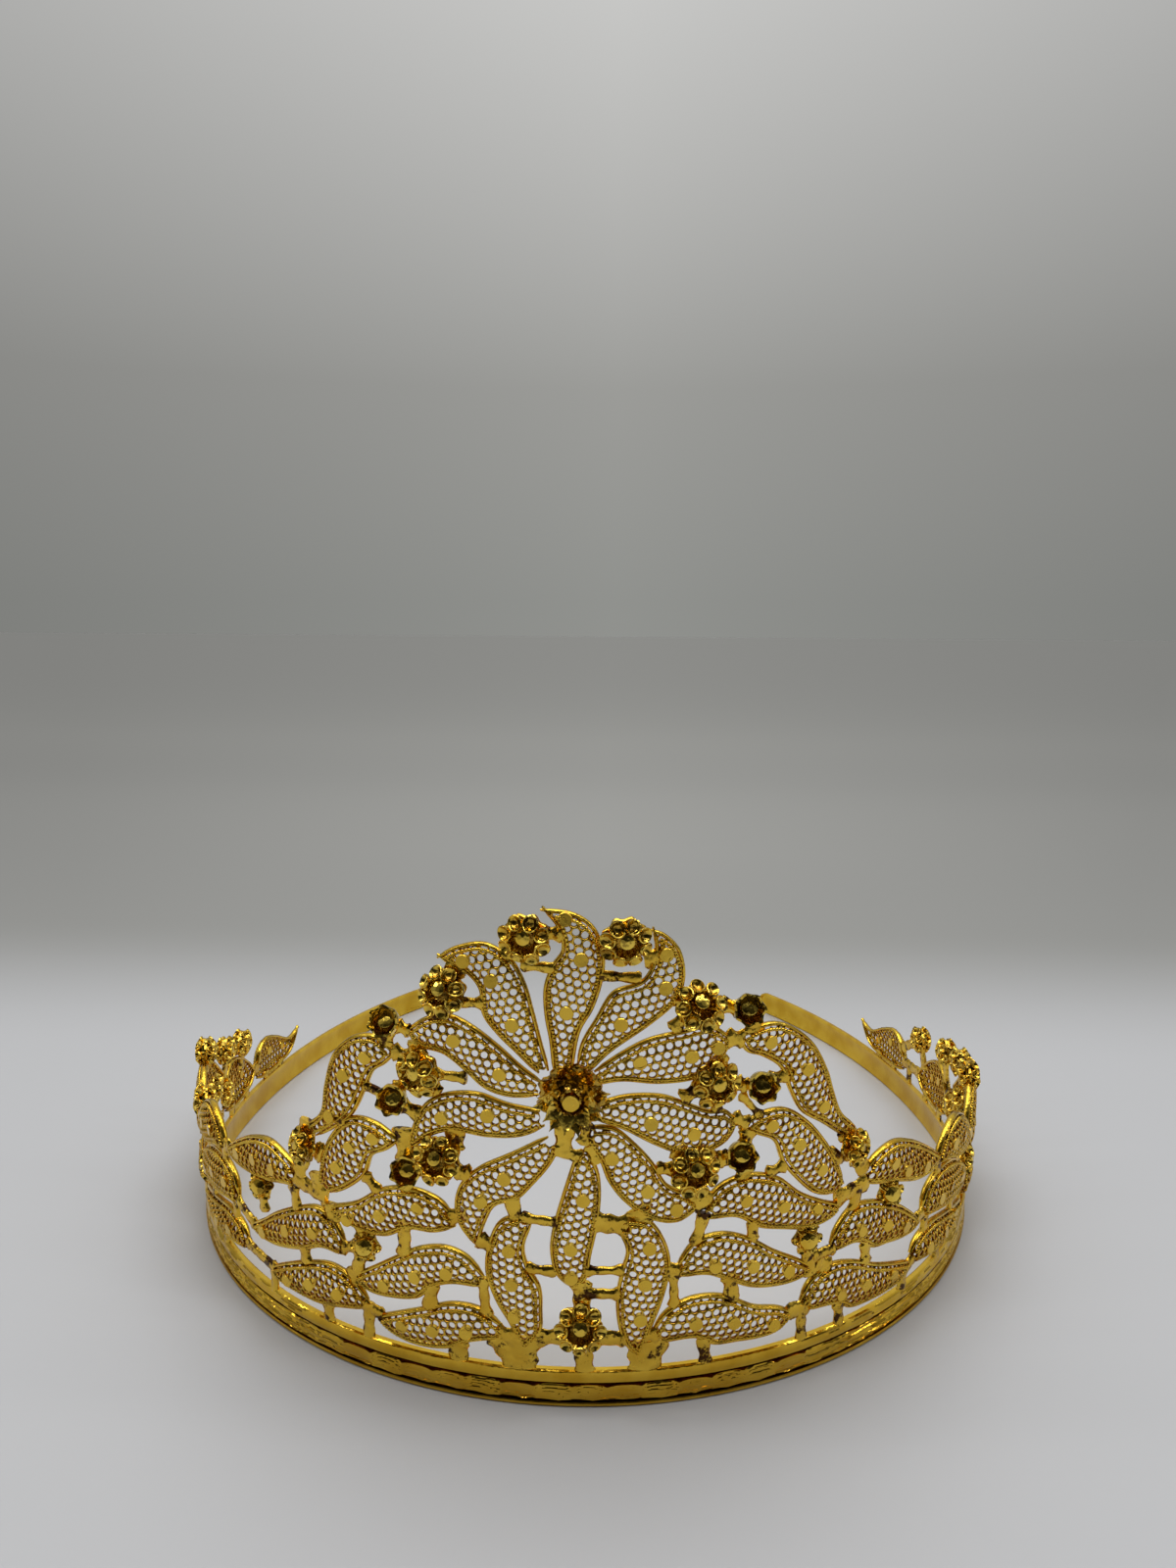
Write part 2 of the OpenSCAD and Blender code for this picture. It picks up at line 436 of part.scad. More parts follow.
// ---- The band ----
lip_top = 0.7;
upper_line = 3.2;
line_width = 0.35;
channel_depth = 0.3;
channel_rim = 0.7;
function band_profile(radius) = [
    [radius - band_thickness, 0],
    [radius, 0],
    [radius, lip_top],
    [radius - line_depth, lip_top],
    [radius - line_depth, lip_top + line_width],
    [radius, lip_top + line_width],
    [radius, upper_line],
    [radius - line_depth, upper_line],
    [radius - line_depth, upper_line + line_width],
    [radius, upper_line + line_width],
    [radius, band_height],
    [radius - band_thickness, band_height],
    [radius - band_thickness, band_height - channel_rim],
    [radius - band_thickness + channel_depth, band_height - channel_rim - channel_depth],
    [radius - band_thickness + channel_depth, channel_rim + channel_depth],
    [radius - band_thickness, channel_rim]
];
module band_front() {
    color(gold)
        translate([0, centre_shift, 0])
            rotate([0, 0, 180])
                rotate_extrude(angle = 180, $fn = 180)
                    polygon(band_profile(band_radius));
}
module band_arm(side) {
    color(gold)
        translate([side * (band_radius - arm_radius), centre_shift, 0])
            rotate([0, 0, side > 0 ? 0 : 180 - arm_sweep])
                rotate_extrude(angle = arm_sweep, $fn = 180)
                    polygon(band_profile(arm_radius));
}
module band_arm_left() { band_arm(-1); }
module band_arm_right() { band_arm(1); }
// A half-round end as thick as the band, closing each arm
module end_cap(side) {
    color(deep_gold)
        translate([side * (band_radius - arm_radius), centre_shift, 0])
            rotate([0, 0, side > 0 ? arm_sweep : 180 - arm_sweep])
                translate([arm_radius - band_thickness, 0, band_height / 2])
                    rotate([0, 90, 0])
                        intersection() {
                            cylinder(d = band_height, h = band_thickness);
                            translate([-band_height, side > 0 ? 0 : -band_height, -1])
                                cube([2 * band_height, band_height, band_thickness + 2]);
                        }
}
module end_cap_left() { end_cap(-1); }
module end_cap_right() { end_cap(1); }

// ---- Flowers ----
cup_wall = 0.6;
cup_floor = 0.2;
base_thickness = 0.9;
pin_diameter = 1.6;
pin_drop = 0.4;
// A ring cup stands this much lower than a flower, and a stud's disc this far above its plate
ring_drop = 0.6;
disc_rise = 0.6;
// Beads round a deep cup with a flat-topped pin, standing out of the wall along -Y
module flower(circle_diameter, bead, count, height) {
    rotate([90, 0, 0]) {
        cylinder(d = circle_diameter + bead / 2, h = base_thickness);
        difference() {
            cylinder(d = circle_diameter - bead / 2, h = height);
            translate([0, 0, base_thickness + cup_floor])
                cylinder(d = circle_diameter - bead / 2 - 2 * cup_wall, h = height);
        }
        cylinder(d = pin_diameter, h = height - pin_drop);
        for (i = [0 : count - 1])
            rotate([0, 0, 360 / count * (i + 0.5)])
                translate([circle_diameter / 2, 0, height - bead / 2])
                    sphere(d = bead, $fn = 32);
    }
}
module at_place(place) {
    on_wall(place[0])
        translate([0, 0, place[1]])
            children();
}
module large_flowers() {
    color(deep_gold)
        for (place = large_places)
            at_place(place)
                flower(large_circle, large_bead, large_count, flower_height);
}
module shoulder_flowers() {
    color(deep_gold)
        for (place = shoulder_places)
            at_place(place)
                flower(small_circle, small_bead, small_count, flower_height);
}
module base_flower() {
    color(deep_gold)
        at_place(base_place)
            flower(large_circle, large_bead, large_count, flower_height);
}
// The flowers of a flank are beaded on both faces of the wall
module flank_flowers(places, side) {
    color(deep_gold) {
        for (place = places)
            at_place([side * place[0], place[1]])
                for (turn = [0, 180])
                    rotate([0, 0, turn])
                        flower(small_circle, small_bead, small_count, flank_height);
        for (place = inner_flank_places)
            at_place([side * place[0], place[1]])
                rotate([0, 0, 180])
                    flower(small_circle, small_bead, small_count, flank_height);
    }
}
module side_flowers_left() { flank_flowers(left_flank_places, -1); }
module side_flowers_right() { flank_flowers(right_flank_places, 1); }
module ring_cups() {
    color(pale_gold)
        for (place = cup_places)
            at_place(place)
                rotate([90, 0, 0])
                    difference() {
                        cylinder(d = cup_diameter, h = flower_height - ring_drop);
                        translate([0, 0, base_thickness])
                            cylinder(d = cup_diameter - 2 * cup_wall, h = flower_height);
                    }
}
module disc_studs() {
    color(pale_gold)
        for (place = stud_places)
            at_place(place)
                rotate([90, 0, 0]) {
                    cylinder(d = cup_diameter, h = base_thickness);
                    cylinder(d = cup_diameter / 2, h = base_thickness + disc_rise);
                }
}

// ---- The rosette's star ----
petal_root = 0.6;
root_half_width = 0.4;
star_pin_diameter = 2.1;
module star_ring(radius, lift) {
    waist = radius * 0.62;
    half_width = radius * 0.3;
    for (i = [0 : star_points - 1])
        rotate([0, 0, 360 / star_points * i])
            translate([0, 0, star_rise])
                rotate([0, -lift, 0])
                    linear_extrude(petal_thickness)
                        polygon([[petal_root, -root_half_width], [waist, -half_width], [radius, 0],
                            [waist, half_width], [petal_root, root_half_width]]);
}
module rosette_star() {
    color(pale_gold)
        at_place(rosette_place)
            rotate([90, 0, 0]) {
                cylinder(r = star_radius * backing_ratio, h = base_thickness);
                star_ring(star_radius, outer_lift);
                rotate([0, 0, 180 / star_points])
                    star_ring(star_radius * inner_ratio, inner_lift);
            }
}
module rosette_pin() {
    color(deep_gold)
        at_place(rosette_place)
            translate([0, -base_thickness, 0])
                rotate([90, 0, 0])
                    cylinder(d = star_pin_diameter, h = flower_height - base_thickness);
}

// ---- The leaves by name ----
module petal_1() { color(gold) leaf(petal_shapes[0]); }
module petal_2() { color(gold) leaf(petal_shapes[1]); }
module petal_3() { color(gold) leaf(petal_shapes[2]); }
module petal_4() { color(gold) leaf(petal_shapes[3]); }
module petal_5() { color(gold) leaf(petal_shapes[4]); }
module petal_6() { color(gold) leaf(petal_shapes[5]); }
module petal_7() { color(gold) leaf(petal_shapes[6]); }
module petal_8() { color(gold) leaf(petal_shapes[7]); }
module petal_9() { color(gold) leaf(petal_shapes[8]); }
module centre_leaf() { color(gold) leaf(centre_shape); }
module lyre_leaf_left() { color(gold) leaf(lyre_left); }
module lyre_leaf_right() { color(gold) leaf(lyre_right); }
module left_crest_leaf() { color(gold) leaf(left_crest); }
module left_rising_leaf() { color(gold) leaf(left_rising); }
module left_high_leaf_1() { color(gold) leaf(left_high_1); }
module left_high_leaf_2() { color(gold) leaf(left_high_2); }
module left_mid_leaf_1() { color(gold) leaf(left_mid_1); }
module left_mid_leaf_2() { color(gold) leaf(left_mid_2); }
module left_low_leaf_1() { color(gold) leaf(left_low_1); }
module left_low_leaf_2() { color(gold) leaf(left_low_2); }
module left_side_high_leaf() { color(gold) leaf(flipped(side_high)); }
module left_side_mid_leaf() { color(gold) leaf(flipped(side_mid)); }
module left_side_low_leaf() { color(gold) leaf(flipped(side_low)); }
module left_ear_high_leaf() { color(gold) leaf(flipped(ear_high)); }
module left_ear_low_leaf() { color(gold) leaf(flipped(ear_low)); }
module left_rear_leaf() { color(gold) leaf(flipped(rear_shape)); }
module left_end_leaf() { color(gold) leaf(flipped(end_shape)); }
module right_crest_leaf() { color(gold) leaf(right_crest); }
module right_rising_leaf() { color(gold) leaf(right_rising); }
module right_high_leaf_1() { color(gold) leaf(right_high_1); }
module right_high_leaf_2() { color(gold) leaf(right_high_2); }
module right_mid_leaf_1() { color(gold) leaf(right_mid_1); }
module right_mid_leaf_2() { color(gold) leaf(right_mid_2); }
module right_low_leaf_1() { color(gold) leaf(right_low_1); }
module right_low_leaf_2() { color(gold) leaf(right_low_2); }
module right_side_high_leaf() { color(gold) leaf(side_high); }
module right_side_mid_leaf() { color(gold) leaf(side_mid); }
module right_side_low_leaf() { color(gold) leaf(side_low); }
module right_ear_high_leaf() { color(gold) leaf(ear_high); }
module right_ear_low_leaf() { color(gold) leaf(ear_low); }
module right_rear_leaf() { color(gold) leaf(moved(rear_shape, right_rear_step)); }
module right_end_leaf() { color(gold) leaf(moved(end_shape, right_end_step)); }

// ---- Ties and feet: short flat bars in the wall ----
module tie(bar) {
    along = [bar[2] - bar[0], bar[3] - bar[1]];
    on_wall((bar[0] + bar[2]) / 2)
        translate([0, 0, (bar[1] + bar[3]) / 2])
            rotate([0, -atan2(along[1], along[0]), 0])
                cube([norm(along), tie_thickness, bar[4]], center = true);
}
module ties_centre() { color(deep_gold) for (bar = centre_ties) tie(bar); }
module ties_left() { color(deep_gold) for (bar = left_ties) tie(bar); }
module ties_right() { color(deep_gold) for (bar = right_ties) tie(bar); }

band_front();
band_arm_left();
band_arm_right();
end_cap_left();
end_cap_right();
rosette_star();
rosette_pin();
petal_1();
petal_2();
petal_3();
petal_4();
petal_5();
petal_6();
petal_7();
petal_8();
petal_9();
centre_leaf();
lyre_leaf_left();
lyre_leaf_right();
left_crest_leaf();
left_rising_leaf();
left_high_leaf_1();
left_high_leaf_2();
left_mid_leaf_1();
left_mid_leaf_2();
left_low_leaf_1();
left_low_leaf_2();
left_side_high_leaf();
left_side_mid_leaf();
left_side_low_leaf();
left_ear_high_leaf();
left_ear_low_leaf();
left_rear_leaf();
left_end_leaf();
right_crest_leaf();
right_rising_leaf();
right_high_leaf_1();
right_high_leaf_2();
right_mid_leaf_1();
right_mid_leaf_2();
right_low_leaf_1();
right_low_leaf_2();
right_side_high_leaf();
right_side_mid_leaf();
right_side_low_leaf();
right_ear_high_leaf();
right_ear_low_leaf();
right_rear_leaf();
right_end_leaf();
large_flowers();
shoulder_flowers();
base_flower();
ring_cups();
disc_studs();
side_flowers_left();
side_flowers_right();
ties_centre();
ties_left();
ties_right();
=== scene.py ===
"""Gold filigree crown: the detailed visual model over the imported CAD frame.

Places on the crown's wall are (s, z, d) in millimetres: s runs along the wall from the front
centre, z is the height above the underside, and d stands outwards from the wall's middle.
"""

import math

import bmesh
import bpy
import numpy as np
from mathutils import Matrix, Vector


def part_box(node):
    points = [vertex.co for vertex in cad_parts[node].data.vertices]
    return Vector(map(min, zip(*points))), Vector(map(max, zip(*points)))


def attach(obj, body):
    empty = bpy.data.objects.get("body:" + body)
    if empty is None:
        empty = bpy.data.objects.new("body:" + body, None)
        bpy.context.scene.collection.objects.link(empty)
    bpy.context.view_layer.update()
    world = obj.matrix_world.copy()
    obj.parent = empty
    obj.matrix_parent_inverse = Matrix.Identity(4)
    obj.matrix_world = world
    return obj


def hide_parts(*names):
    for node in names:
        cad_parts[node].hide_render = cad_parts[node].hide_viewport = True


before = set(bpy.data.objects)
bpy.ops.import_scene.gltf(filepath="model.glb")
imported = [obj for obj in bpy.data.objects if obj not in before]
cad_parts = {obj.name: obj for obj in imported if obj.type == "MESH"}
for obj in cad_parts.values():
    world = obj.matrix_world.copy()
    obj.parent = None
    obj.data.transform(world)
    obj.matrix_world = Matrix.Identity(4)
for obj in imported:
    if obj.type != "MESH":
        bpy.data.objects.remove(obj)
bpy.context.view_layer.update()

MM = 0.001
SEED = np.random.default_rng(7)

# ---------------------------------------------------------------- plan of the crown
BAND_RADIUS = 70.0
ARM_RADIUS = 116.0
ARM_SWEEP = math.radians(38)
BAND_HEIGHT = 5.2
BAND_THICKNESS = 1.3
WALL_INSET = 0.7
WALL_RADIUS = BAND_RADIUS - WALL_INSET
WALL_ARM = ARM_RADIUS - WALL_INSET
HALF_ARC = WALL_RADIUS * math.pi / 2
ARM_LENGTH = WALL_ARM * ARM_SWEEP
# The front half circle ends where its node's box ends
CENTRE_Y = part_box("band_front")[1][1] / MM


def on_wall(points):
    """World positions, in metres, of rows of (s, z, d)."""
    points = np.asarray(points, float)
    s, z, d = points[:, 0], points[:, 1], points[:, 2]
    side = np.where(s < 0, -1.0, 1.0)
    reach = np.abs(s)
    front = np.minimum(reach, HALF_ARC) / WALL_RADIUS
    rear = np.maximum(reach - HALF_ARC, 0) / WALL_ARM
    x_front = (WALL_RADIUS + d) * np.sin(front)
    y_front = -(WALL_RADIUS + d) * np.cos(front)
    x_rear = WALL_RADIUS - WALL_ARM + (WALL_ARM + d) * np.cos(rear)
    y_rear = (WALL_ARM + d) * np.sin(rear)
    behind = reach > HALF_ARC
    x = side * np.where(behind, x_rear, x_front)
    y = np.where(behind, y_rear, y_front) + CENTRE_Y
    return np.stack([x, y, z], -1) * MM


def local_frame(s, z, tilt_z=0.0, tilt_s=0.0):
    """A 4x4 whose X runs along the wall, Y up it and Z outwards, at (s, z), turned by the tilts."""
    spot, along, out = on_wall([(s, z, 0), (s + 0.05, z, 0), (s, z, 1)])
    axis_x = Vector(along - spot).normalized()
    axis_z = Vector(out - spot).normalized()
    axis_y = axis_z.cross(axis_x)
    turn = Matrix((axis_x, axis_y, axis_z)).transposed().to_4x4()
    tilts = Matrix.Rotation(math.radians(-tilt_z), 4, "X") @ Matrix.Rotation(math.radians(tilt_s), 4, "Y")
    return Matrix.Translation(Vector(spot)) @ turn @ tilts @ Matrix.Scale(MM, 4)


# ---------------------------------------------------------------- shader nodes
def feed(tree, node, name, value):
    """Set one input of a node, or link another node's output to it."""
    if isinstance(value, bpy.types.NodeSocket):
        tree.links.new(value, node.inputs[name])
    else:
        node.inputs[name].default_value = value


def calculate(tree, operation, first, second=0.5):
    node = tree.nodes.new("ShaderNodeMath")
    node.operation = operation
    feed(tree, node, 0, first)
    feed(tree, node, 1, second)
    return node.outputs["Value"]


def map_range(tree, value, start, end, low=0.0, high=1.0):
    """The value carried from start..end to low..high, and held at the ends."""
    node = tree.nodes.new("ShaderNodeMapRange")
    feed(tree, node, "Value", value)
    feed(tree, node, "From Min", start)
    feed(tree, node, "From Max", end)
    feed(tree, node, "To Min", low)
    feed(tree, node, "To Max", high)
    return node.outputs["Result"]


def mix(tree, share, first, second, blend="MIX"):
    """Two colours mixed; sockets 6 and 7 are the colour ones of this node."""
    node = tree.nodes.new("ShaderNodeMix")
    node.data_type = "RGBA"
    node.blend_type = blend
    feed(tree, node, 0, share)
    feed(tree, node, 6, first)
    feed(tree, node, 7, second)
    return node.outputs[2]


def noise(tree, where, scale, detail=2.0, roughness=0.5):
    node = tree.nodes.new("ShaderNodeTexNoise")
    feed(tree, node, "Vector", where)
    feed(tree, node, "Scale", scale)
    feed(tree, node, "Detail", detail)
    feed(tree, node, "Roughness", roughness)
    return node.outputs["Fac"]


def ramp(tree, value, stops, interpolation="LINEAR"):
    """A colour ramp through stops of (place, colour)."""
    node = tree.nodes.new("ShaderNodeValToRGB")
    node.color_ramp.interpolation = interpolation
    for spot, _ in stops[1:-1]:
        node.color_ramp.elements.new(spot)
    for element, (spot, colour) in zip(node.color_ramp.elements, stops):
        element.position = spot
        element.color = (*colour, 1)
    feed(tree, node, 0, value)
    return node.outputs["Color"]


def bump(tree, height, strength, distance):
    node = tree.nodes.new("ShaderNodeBump")
    feed(tree, node, "Height", height)
    feed(tree, node, "Strength", strength)
    feed(tree, node, "Distance", distance)
    return node.outputs["Normal"]


# ---------------------------------------------------------------- camera, floor and light
# The camera's place in millimetres from the centre of the front half circle, and its turns in radians
CAMERA_PLACE = (4.90, -197.3, 104.84)
CAMERA_PITCH, CAMERA_YAW, CAMERA_ROLL = 0.1675, -0.0248, 0.0063
CAMERA_LENS = 24.95
# Brightness of the room by height, and on the camera's side as a share of that
SKY = (
    (0.0, (0.28, 0.285, 0.27)), (0.18, (0.33, 0.33, 0.315)),
    (0.5, (0.62, 0.62, 0.61)), (0.9, (0.75, 0.75, 0.75)),
)
FRONT_LIGHT = 0.06
# Colour of the sheet from under the crown to far behind it, with painted light and shade: pale under the
# crown, greyer behind it
SHEET_LIGHT_AND_SHADE = (
    (0.0, (0.60, 0.605, 0.62)), (0.17, (0.36, 0.36, 0.345)),
    (0.6, (0.43, 0.43, 0.41)), (1.0, (0.49, 0.49, 0.465)),
)
SHEET_HALF = 3.0


def make_camera():
    """Where the photograph was taken from: low, just over the crown, with a wide phone lens."""
    data = bpy.data.cameras.new("camera")
    data.lens = CAMERA_LENS
    data.sensor_width = 36
    data.clip_start = 0.01
    camera = bpy.data.objects.new("camera", data)
    bpy.context.collection.objects.link(camera)
    level = math.cos(CAMERA_PITCH)
    forward = Vector((math.sin(CAMERA_YAW) * level, math.cos(CAMERA_YAW) * level, -math.sin(CAMERA_PITCH)))
    right = Vector((math.cos(CAMERA_YAW), -math.sin(CAMERA_YAW), 0))
    up = right.cross(forward)
    right_rolled = math.cos(CAMERA_ROLL) * right + math.sin(CAMERA_ROLL) * up
    up_rolled = -math.sin(CAMERA_ROLL) * right + math.cos(CAMERA_ROLL) * up
    turn = Matrix((right_rolled, up_rolled, -forward)).transposed().to_4x4()
    x, y, z = CAMERA_PLACE
    camera.matrix_world = Matrix.Translation(Vector((x, y + CENTRE_Y, z)) * MM) @ turn
    bpy.context.scene.camera = camera


def area_light(name, place, target, size, size_y, power, colour=(1, 1, 1)):
    data = bpy.data.lights.new(name, "AREA")
    data.shape = "RECTANGLE"
    data.size = size
    data.size_y = size_y
    data.energy = power
    data.color = colour
    lamp = bpy.data.objects.new(name, data)
    bpy.context.collection.objects.link(lamp)
    aim = Vector(target) - Vector(place)
    turn = aim.to_track_quat("-Z", "Y").to_matrix().to_4x4()
    lamp.matrix_world = Matrix.Translation(Vector(place)) @ turn


def make_world():
    """A plain studio: grey at the horizon, pale overhead, and dark on the side of the camera."""
    world = bpy.data.worlds.new("studio")
    bpy.context.scene.world = world
    bpy.context.scene.view_settings.view_transform = "Standard"
    world.use_nodes = True
    tree = world.node_tree
    where = tree.nodes.new("ShaderNodeTexCoord")
    split = tree.nodes.new("ShaderNodeSeparateXYZ")
    feed(tree, split, 0, where.outputs["Generated"])
    height = ramp(tree, split.outputs["Z"], SKY)
    # Towards -Y the room is dark
    front = map_range(tree, split.outputs["Y"], -0.7, 0.0, FRONT_LIGHT)
    # The backdrop itself is as pale on that side as on the others
    path = tree.nodes.new("ShaderNodeLightPath")
    backdrop = calculate(tree, "MAXIMUM", front, path.outputs["Is Camera Ray"])
    # The room is a little darker to either side
    aside = calculate(tree, "ABSOLUTE", split.outputs["X"])
    side = map_range(tree, aside, 0.0, 0.5, 1.0, 0.76)
    share = calculate(tree, "MULTIPLY", backdrop, side)
    feed(tree, tree.nodes["Background"], "Color", mix(tree, 1.0, height, share, "MULTIPLY"))


def make_floor():
    """A pale studio sheet with painted shade that turns it greyer behind the crown."""
    data = bpy.data.meshes.new("floor")
    corners = [(x * SHEET_HALF, y * SHEET_HALF, 0) for x, y in ((-1, -1), (1, -1), (1, 1), (-1, 1))]
    data.from_pydata(corners, [], [(0, 1, 2, 3)])
    floor = bpy.data.objects.new("floor", data)
    bpy.context.collection.objects.link(floor)
    material = bpy.data.materials.new("studio_sheet")
    material.use_nodes = True
    tree = material.node_tree
    shader = tree.nodes["Principled BSDF"]
    where = tree.nodes.new("ShaderNodeTexCoord").outputs["Object"]
    split = tree.nodes.new("ShaderNodeSeparateXYZ")
    feed(tree, split, 0, where)
    back = split.outputs["Y"]
    colour = ramp(tree, map_range(tree, back, 0.04, 0.65), SHEET_LIGHT_AND_SHADE, "EASE")
    # Painted light: behind the crown the sheet is lighter in line with it than to either side
    aside = calculate(tree, "ABSOLUTE", split.outputs["X"])
    share = calculate(tree, "DIVIDE", aside, calculate(tree, "ADD", back, 0.2))
    painted_lighter = map_range(tree, share, 0.0, 0.5, 1.17, 0.97)
    behind = map_range(tree, back, 0.05, 0.25)
    feed(tree, shader, "Base Color", mix(tree, behind, colour, painted_lighter, "MULTIPLY"))
    feed(tree, shader, "Roughness", 0.6)
    feed(tree, shader, "Normal", bump(tree, noise(tree, where, 900), 0.05, 0.0002))
    data.materials.append(material)


make_camera()
make_world()
make_floor()
area_light("overhead_soft", (0, 0.05, 0.55), (0, 0, 0), 0.5, 0.3, 0.9)
area_light("overhead_strip", (0, -0.16, 0.46), (0, 0, 0.02), 0.5, 0.03, 0.35)
area_light("overhead_strip_left", (-0.34, -0.06, 0.40), (0, 0, 0.03), 0.03, 0.4, 0.22)
area_light("overhead_strip_right", (0.34, -0.06, 0.40), (0, 0, 0.03), 0.03, 0.4, 0.22)


# ---------------------------------------------------------------- gold
# Painted shade: the dark red-brown mixed into the gold where a vertex's painted shade amount is high,
# standing for shade and warm inter-reflections in hollows
PAINTED_SHADE_COLOUR = (0.24, 0.075, 0.012, 1)
SCORCH_COLOUR = (0.07, 0.03, 0.01, 1)


def gold(name, bright, deep, roughness, grain, relief, scorched=0.0):
    """Polished gold: two tones that drift over the metal, a painted shade of dark red-brown in hollows, fine
    wear.
    """
    material = bpy.data.materials.new(name)
    material.use_nodes = True
    tree = material.node_tree
    shader = tree.nodes["Principled BSDF"]
    where = tree.nodes.new("ShaderNodeTexCoord").outputs["Object"]
    tone = ramp(tree, noise(tree, where, 260, 4), ((0.36, deep), (0.62, bright)))
    # Painted shade: each vertex's amount of it, carried as a mesh attribute
    painted_shade = tree.nodes.new("ShaderNodeAttribute")
    painted_shade.attribute_name = "painted_shade"
    shade = mix(tree, painted_shade.outputs["Fac"], tone, PAINTED_SHADE_COLOUR)
    # Scorch marks where the metal was soldered
    burnt = map_range(tree, noise(tree, where, 420, 5, 0.7), 0.54, 0.59, 0.0, scorched)
    # Handling marks: patches that are a little duller
    smear = noise(tree, where, grain, 6)
    dull = map_range(tree, smear, 0.35, 0.7, roughness * 0.6, roughness * 1.7)
    # Tiny dents and tool marks
    dents = tree.nodes.new("ShaderNodeTexVoronoi")
    feed(tree, dents, "Scale", grain * 2.2)
    feed(tree, dents, "Vector", where)
    height = calculate(tree, "ADD", dents.outputs["Distance"], smear)
    feed(tree, shader, "Metallic", 1.0)
    feed(tree, shader, "Base Color", mix(tree, burnt, shade, SCORCH_COLOUR))
    feed(tree, shader, "Roughness", dull)
    feed(tree, shader, "Normal", bump(tree, height, relief, 0.0001))
    return material


BAND_GOLD = gold("band_gold", (0.86, 0.56, 0.055), (0.72, 0.43, 0.03), 0.12, 700, 0.2)
SHEET_GOLD = gold("sheet_gold", (0.86, 0.56, 0.06), (0.70, 0.40, 0.03), 0.15, 900, 0.3, 0.3)
RIM_GOLD = gold("rim_gold", (0.84, 0.56, 0.06), (0.70, 0.41, 0.03), 0.14, 1000, 0.3, 0.4)
DISC_GOLD = gold("disc_gold", (0.82, 0.54, 0.065), (0.76, 0.48, 0.05), 0.20, 600, 0.15)
FLOWER_GOLD = gold("flower_gold", (0.90, 0.64, 0.10), (0.80, 0.50, 0.05), 0.11, 900, 0.5, 0.6)
SOLDER_GOLD = gold("solder_gold", (0.84, 0.55, 0.065), (0.72, 0.43, 0.04), 0.20, 620, 0.9, 1.0)


# ---------------------------------------------------------------- mesh building
class Metal:
    """Collects vertices, faces and how much painted shade each vertex gets, then makes one object."""

    def __init__(self):
        self.verts = []
        self.painted_shade = []
        self.faces = []
        self.count = 0

    def add(self, verts, faces, painted_shade=0.0):
        verts = np.asarray(verts, float)
        self.verts.append(verts)
        self.painted_shade.append(np.broadcast_to(np.asarray(painted_shade, float), (len(verts),)))
        self.faces.extend([tuple(int(i) + self.count for i in face) for face in faces])
        self.count += len(verts)

    def piece(self, name, material, replaced=(), merge=0.0, sharp=40):
        data = bpy.data.meshes.new(name)
        data.from_pydata(np.concatenate(self.verts).tolist(), [], self.faces)
        # The painted shade amount of each vertex, read by the gold materials
        layer = data.attributes.new("painted_shade", "FLOAT", "POINT")
        layer.data.foreach_set("value", np.concatenate(self.painted_shade).astype(np.float32))
        data.validate()
        data.materials.append(material)
        item = bpy.data.objects.new(name, data)
        bpy.context.collection.objects.link(item)
        if merge:
            weld(data, merge)
        data.shade_smooth()
        data.set_sharp_from_angle(angle=math.radians(sharp))
        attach(item, "root")
        if replaced:
            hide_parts(*replaced)
        return item


def weld(data, distance):
    mesh = bmesh.new()
    mesh.from_mesh(data)
    bmesh.ops.remove_doubles(mesh, verts=mesh.verts, dist=distance)
    mesh.to_mesh(data)
    mesh.free()


def grid_faces(rows, columns, wrap=True, flip=False):
    """Quads of a grid of rows x columns; the columns close into rings when wrap is set."""
    faces = []
    for i in range(rows - 1):
        for j in range(columns if wrap else columns - 1):
            k = (j + 1) % columns
            face = (i * columns + j, i * columns + k, (i + 1) * columns + k, (i + 1) * columns + j)
            faces.append(face[::-1] if flip else face)
    return faces


def revolve(profile, sides=24):
    """Verts and faces of a profile of (radius, height) turned about Z; ends on the axis are closed."""
    profile = np.asarray(profile, float)
    angles = np.arange(sides) * 2 * math.pi / sides
    ring = np.stack([np.cos(angles), np.sin(angles)], -1)
    verts = np.concatenate([np.column_stack([ring * r, np.full(sides, h)]) for r, h in profile])
    faces = grid_faces(len(profile), sides)
    faces.append(tuple(range(sides))[::-1])
    faces.append(tuple(range((len(profile) - 1) * sides, len(profile) * sides)))
    return verts, faces


def placed(matrix, verts):
    matrix = np.array(matrix)
    return verts @ matrix[:3, :3].T + matrix[:3, 3]


# ---------------------------------------------------------------- curves on the wall
def curve(points, steps):
    """A smooth curve through points, with that many steps between two of them."""
    points = np.asarray(points, float)
    padded = np.vstack([2 * points[0] - points[1], points, 2 * points[-1] - points[-2]])
    made = []
    for i in range(len(points) - 1):
        a, b, c, d = padded[i : i + 4]
        for t in np.arange(steps) / steps:
            square = (2 * a - 5 * b + 4 * c - d) * t**2
            cube = (3 * b - a - 3 * c + d) * t**3
            made.append((2 * b + (c - a) * t + square + cube) / 2)
    made.append(points[-1])
    return np.array(made)


def even(path, gap):
    """The same path with points at even distances of about gap."""
    lengths = np.concatenate([[0], np.cumsum(np.linalg.norm(np.diff(path, axis=0), axis=1))])
    count = max(int(lengths[-1] / gap), 4)
    stops = np.linspace(0, lengths[-1], count + 1)
    return np.stack([np.interp(stops, lengths, path[:, k]) for k in range(path.shape[1])], -1), stops


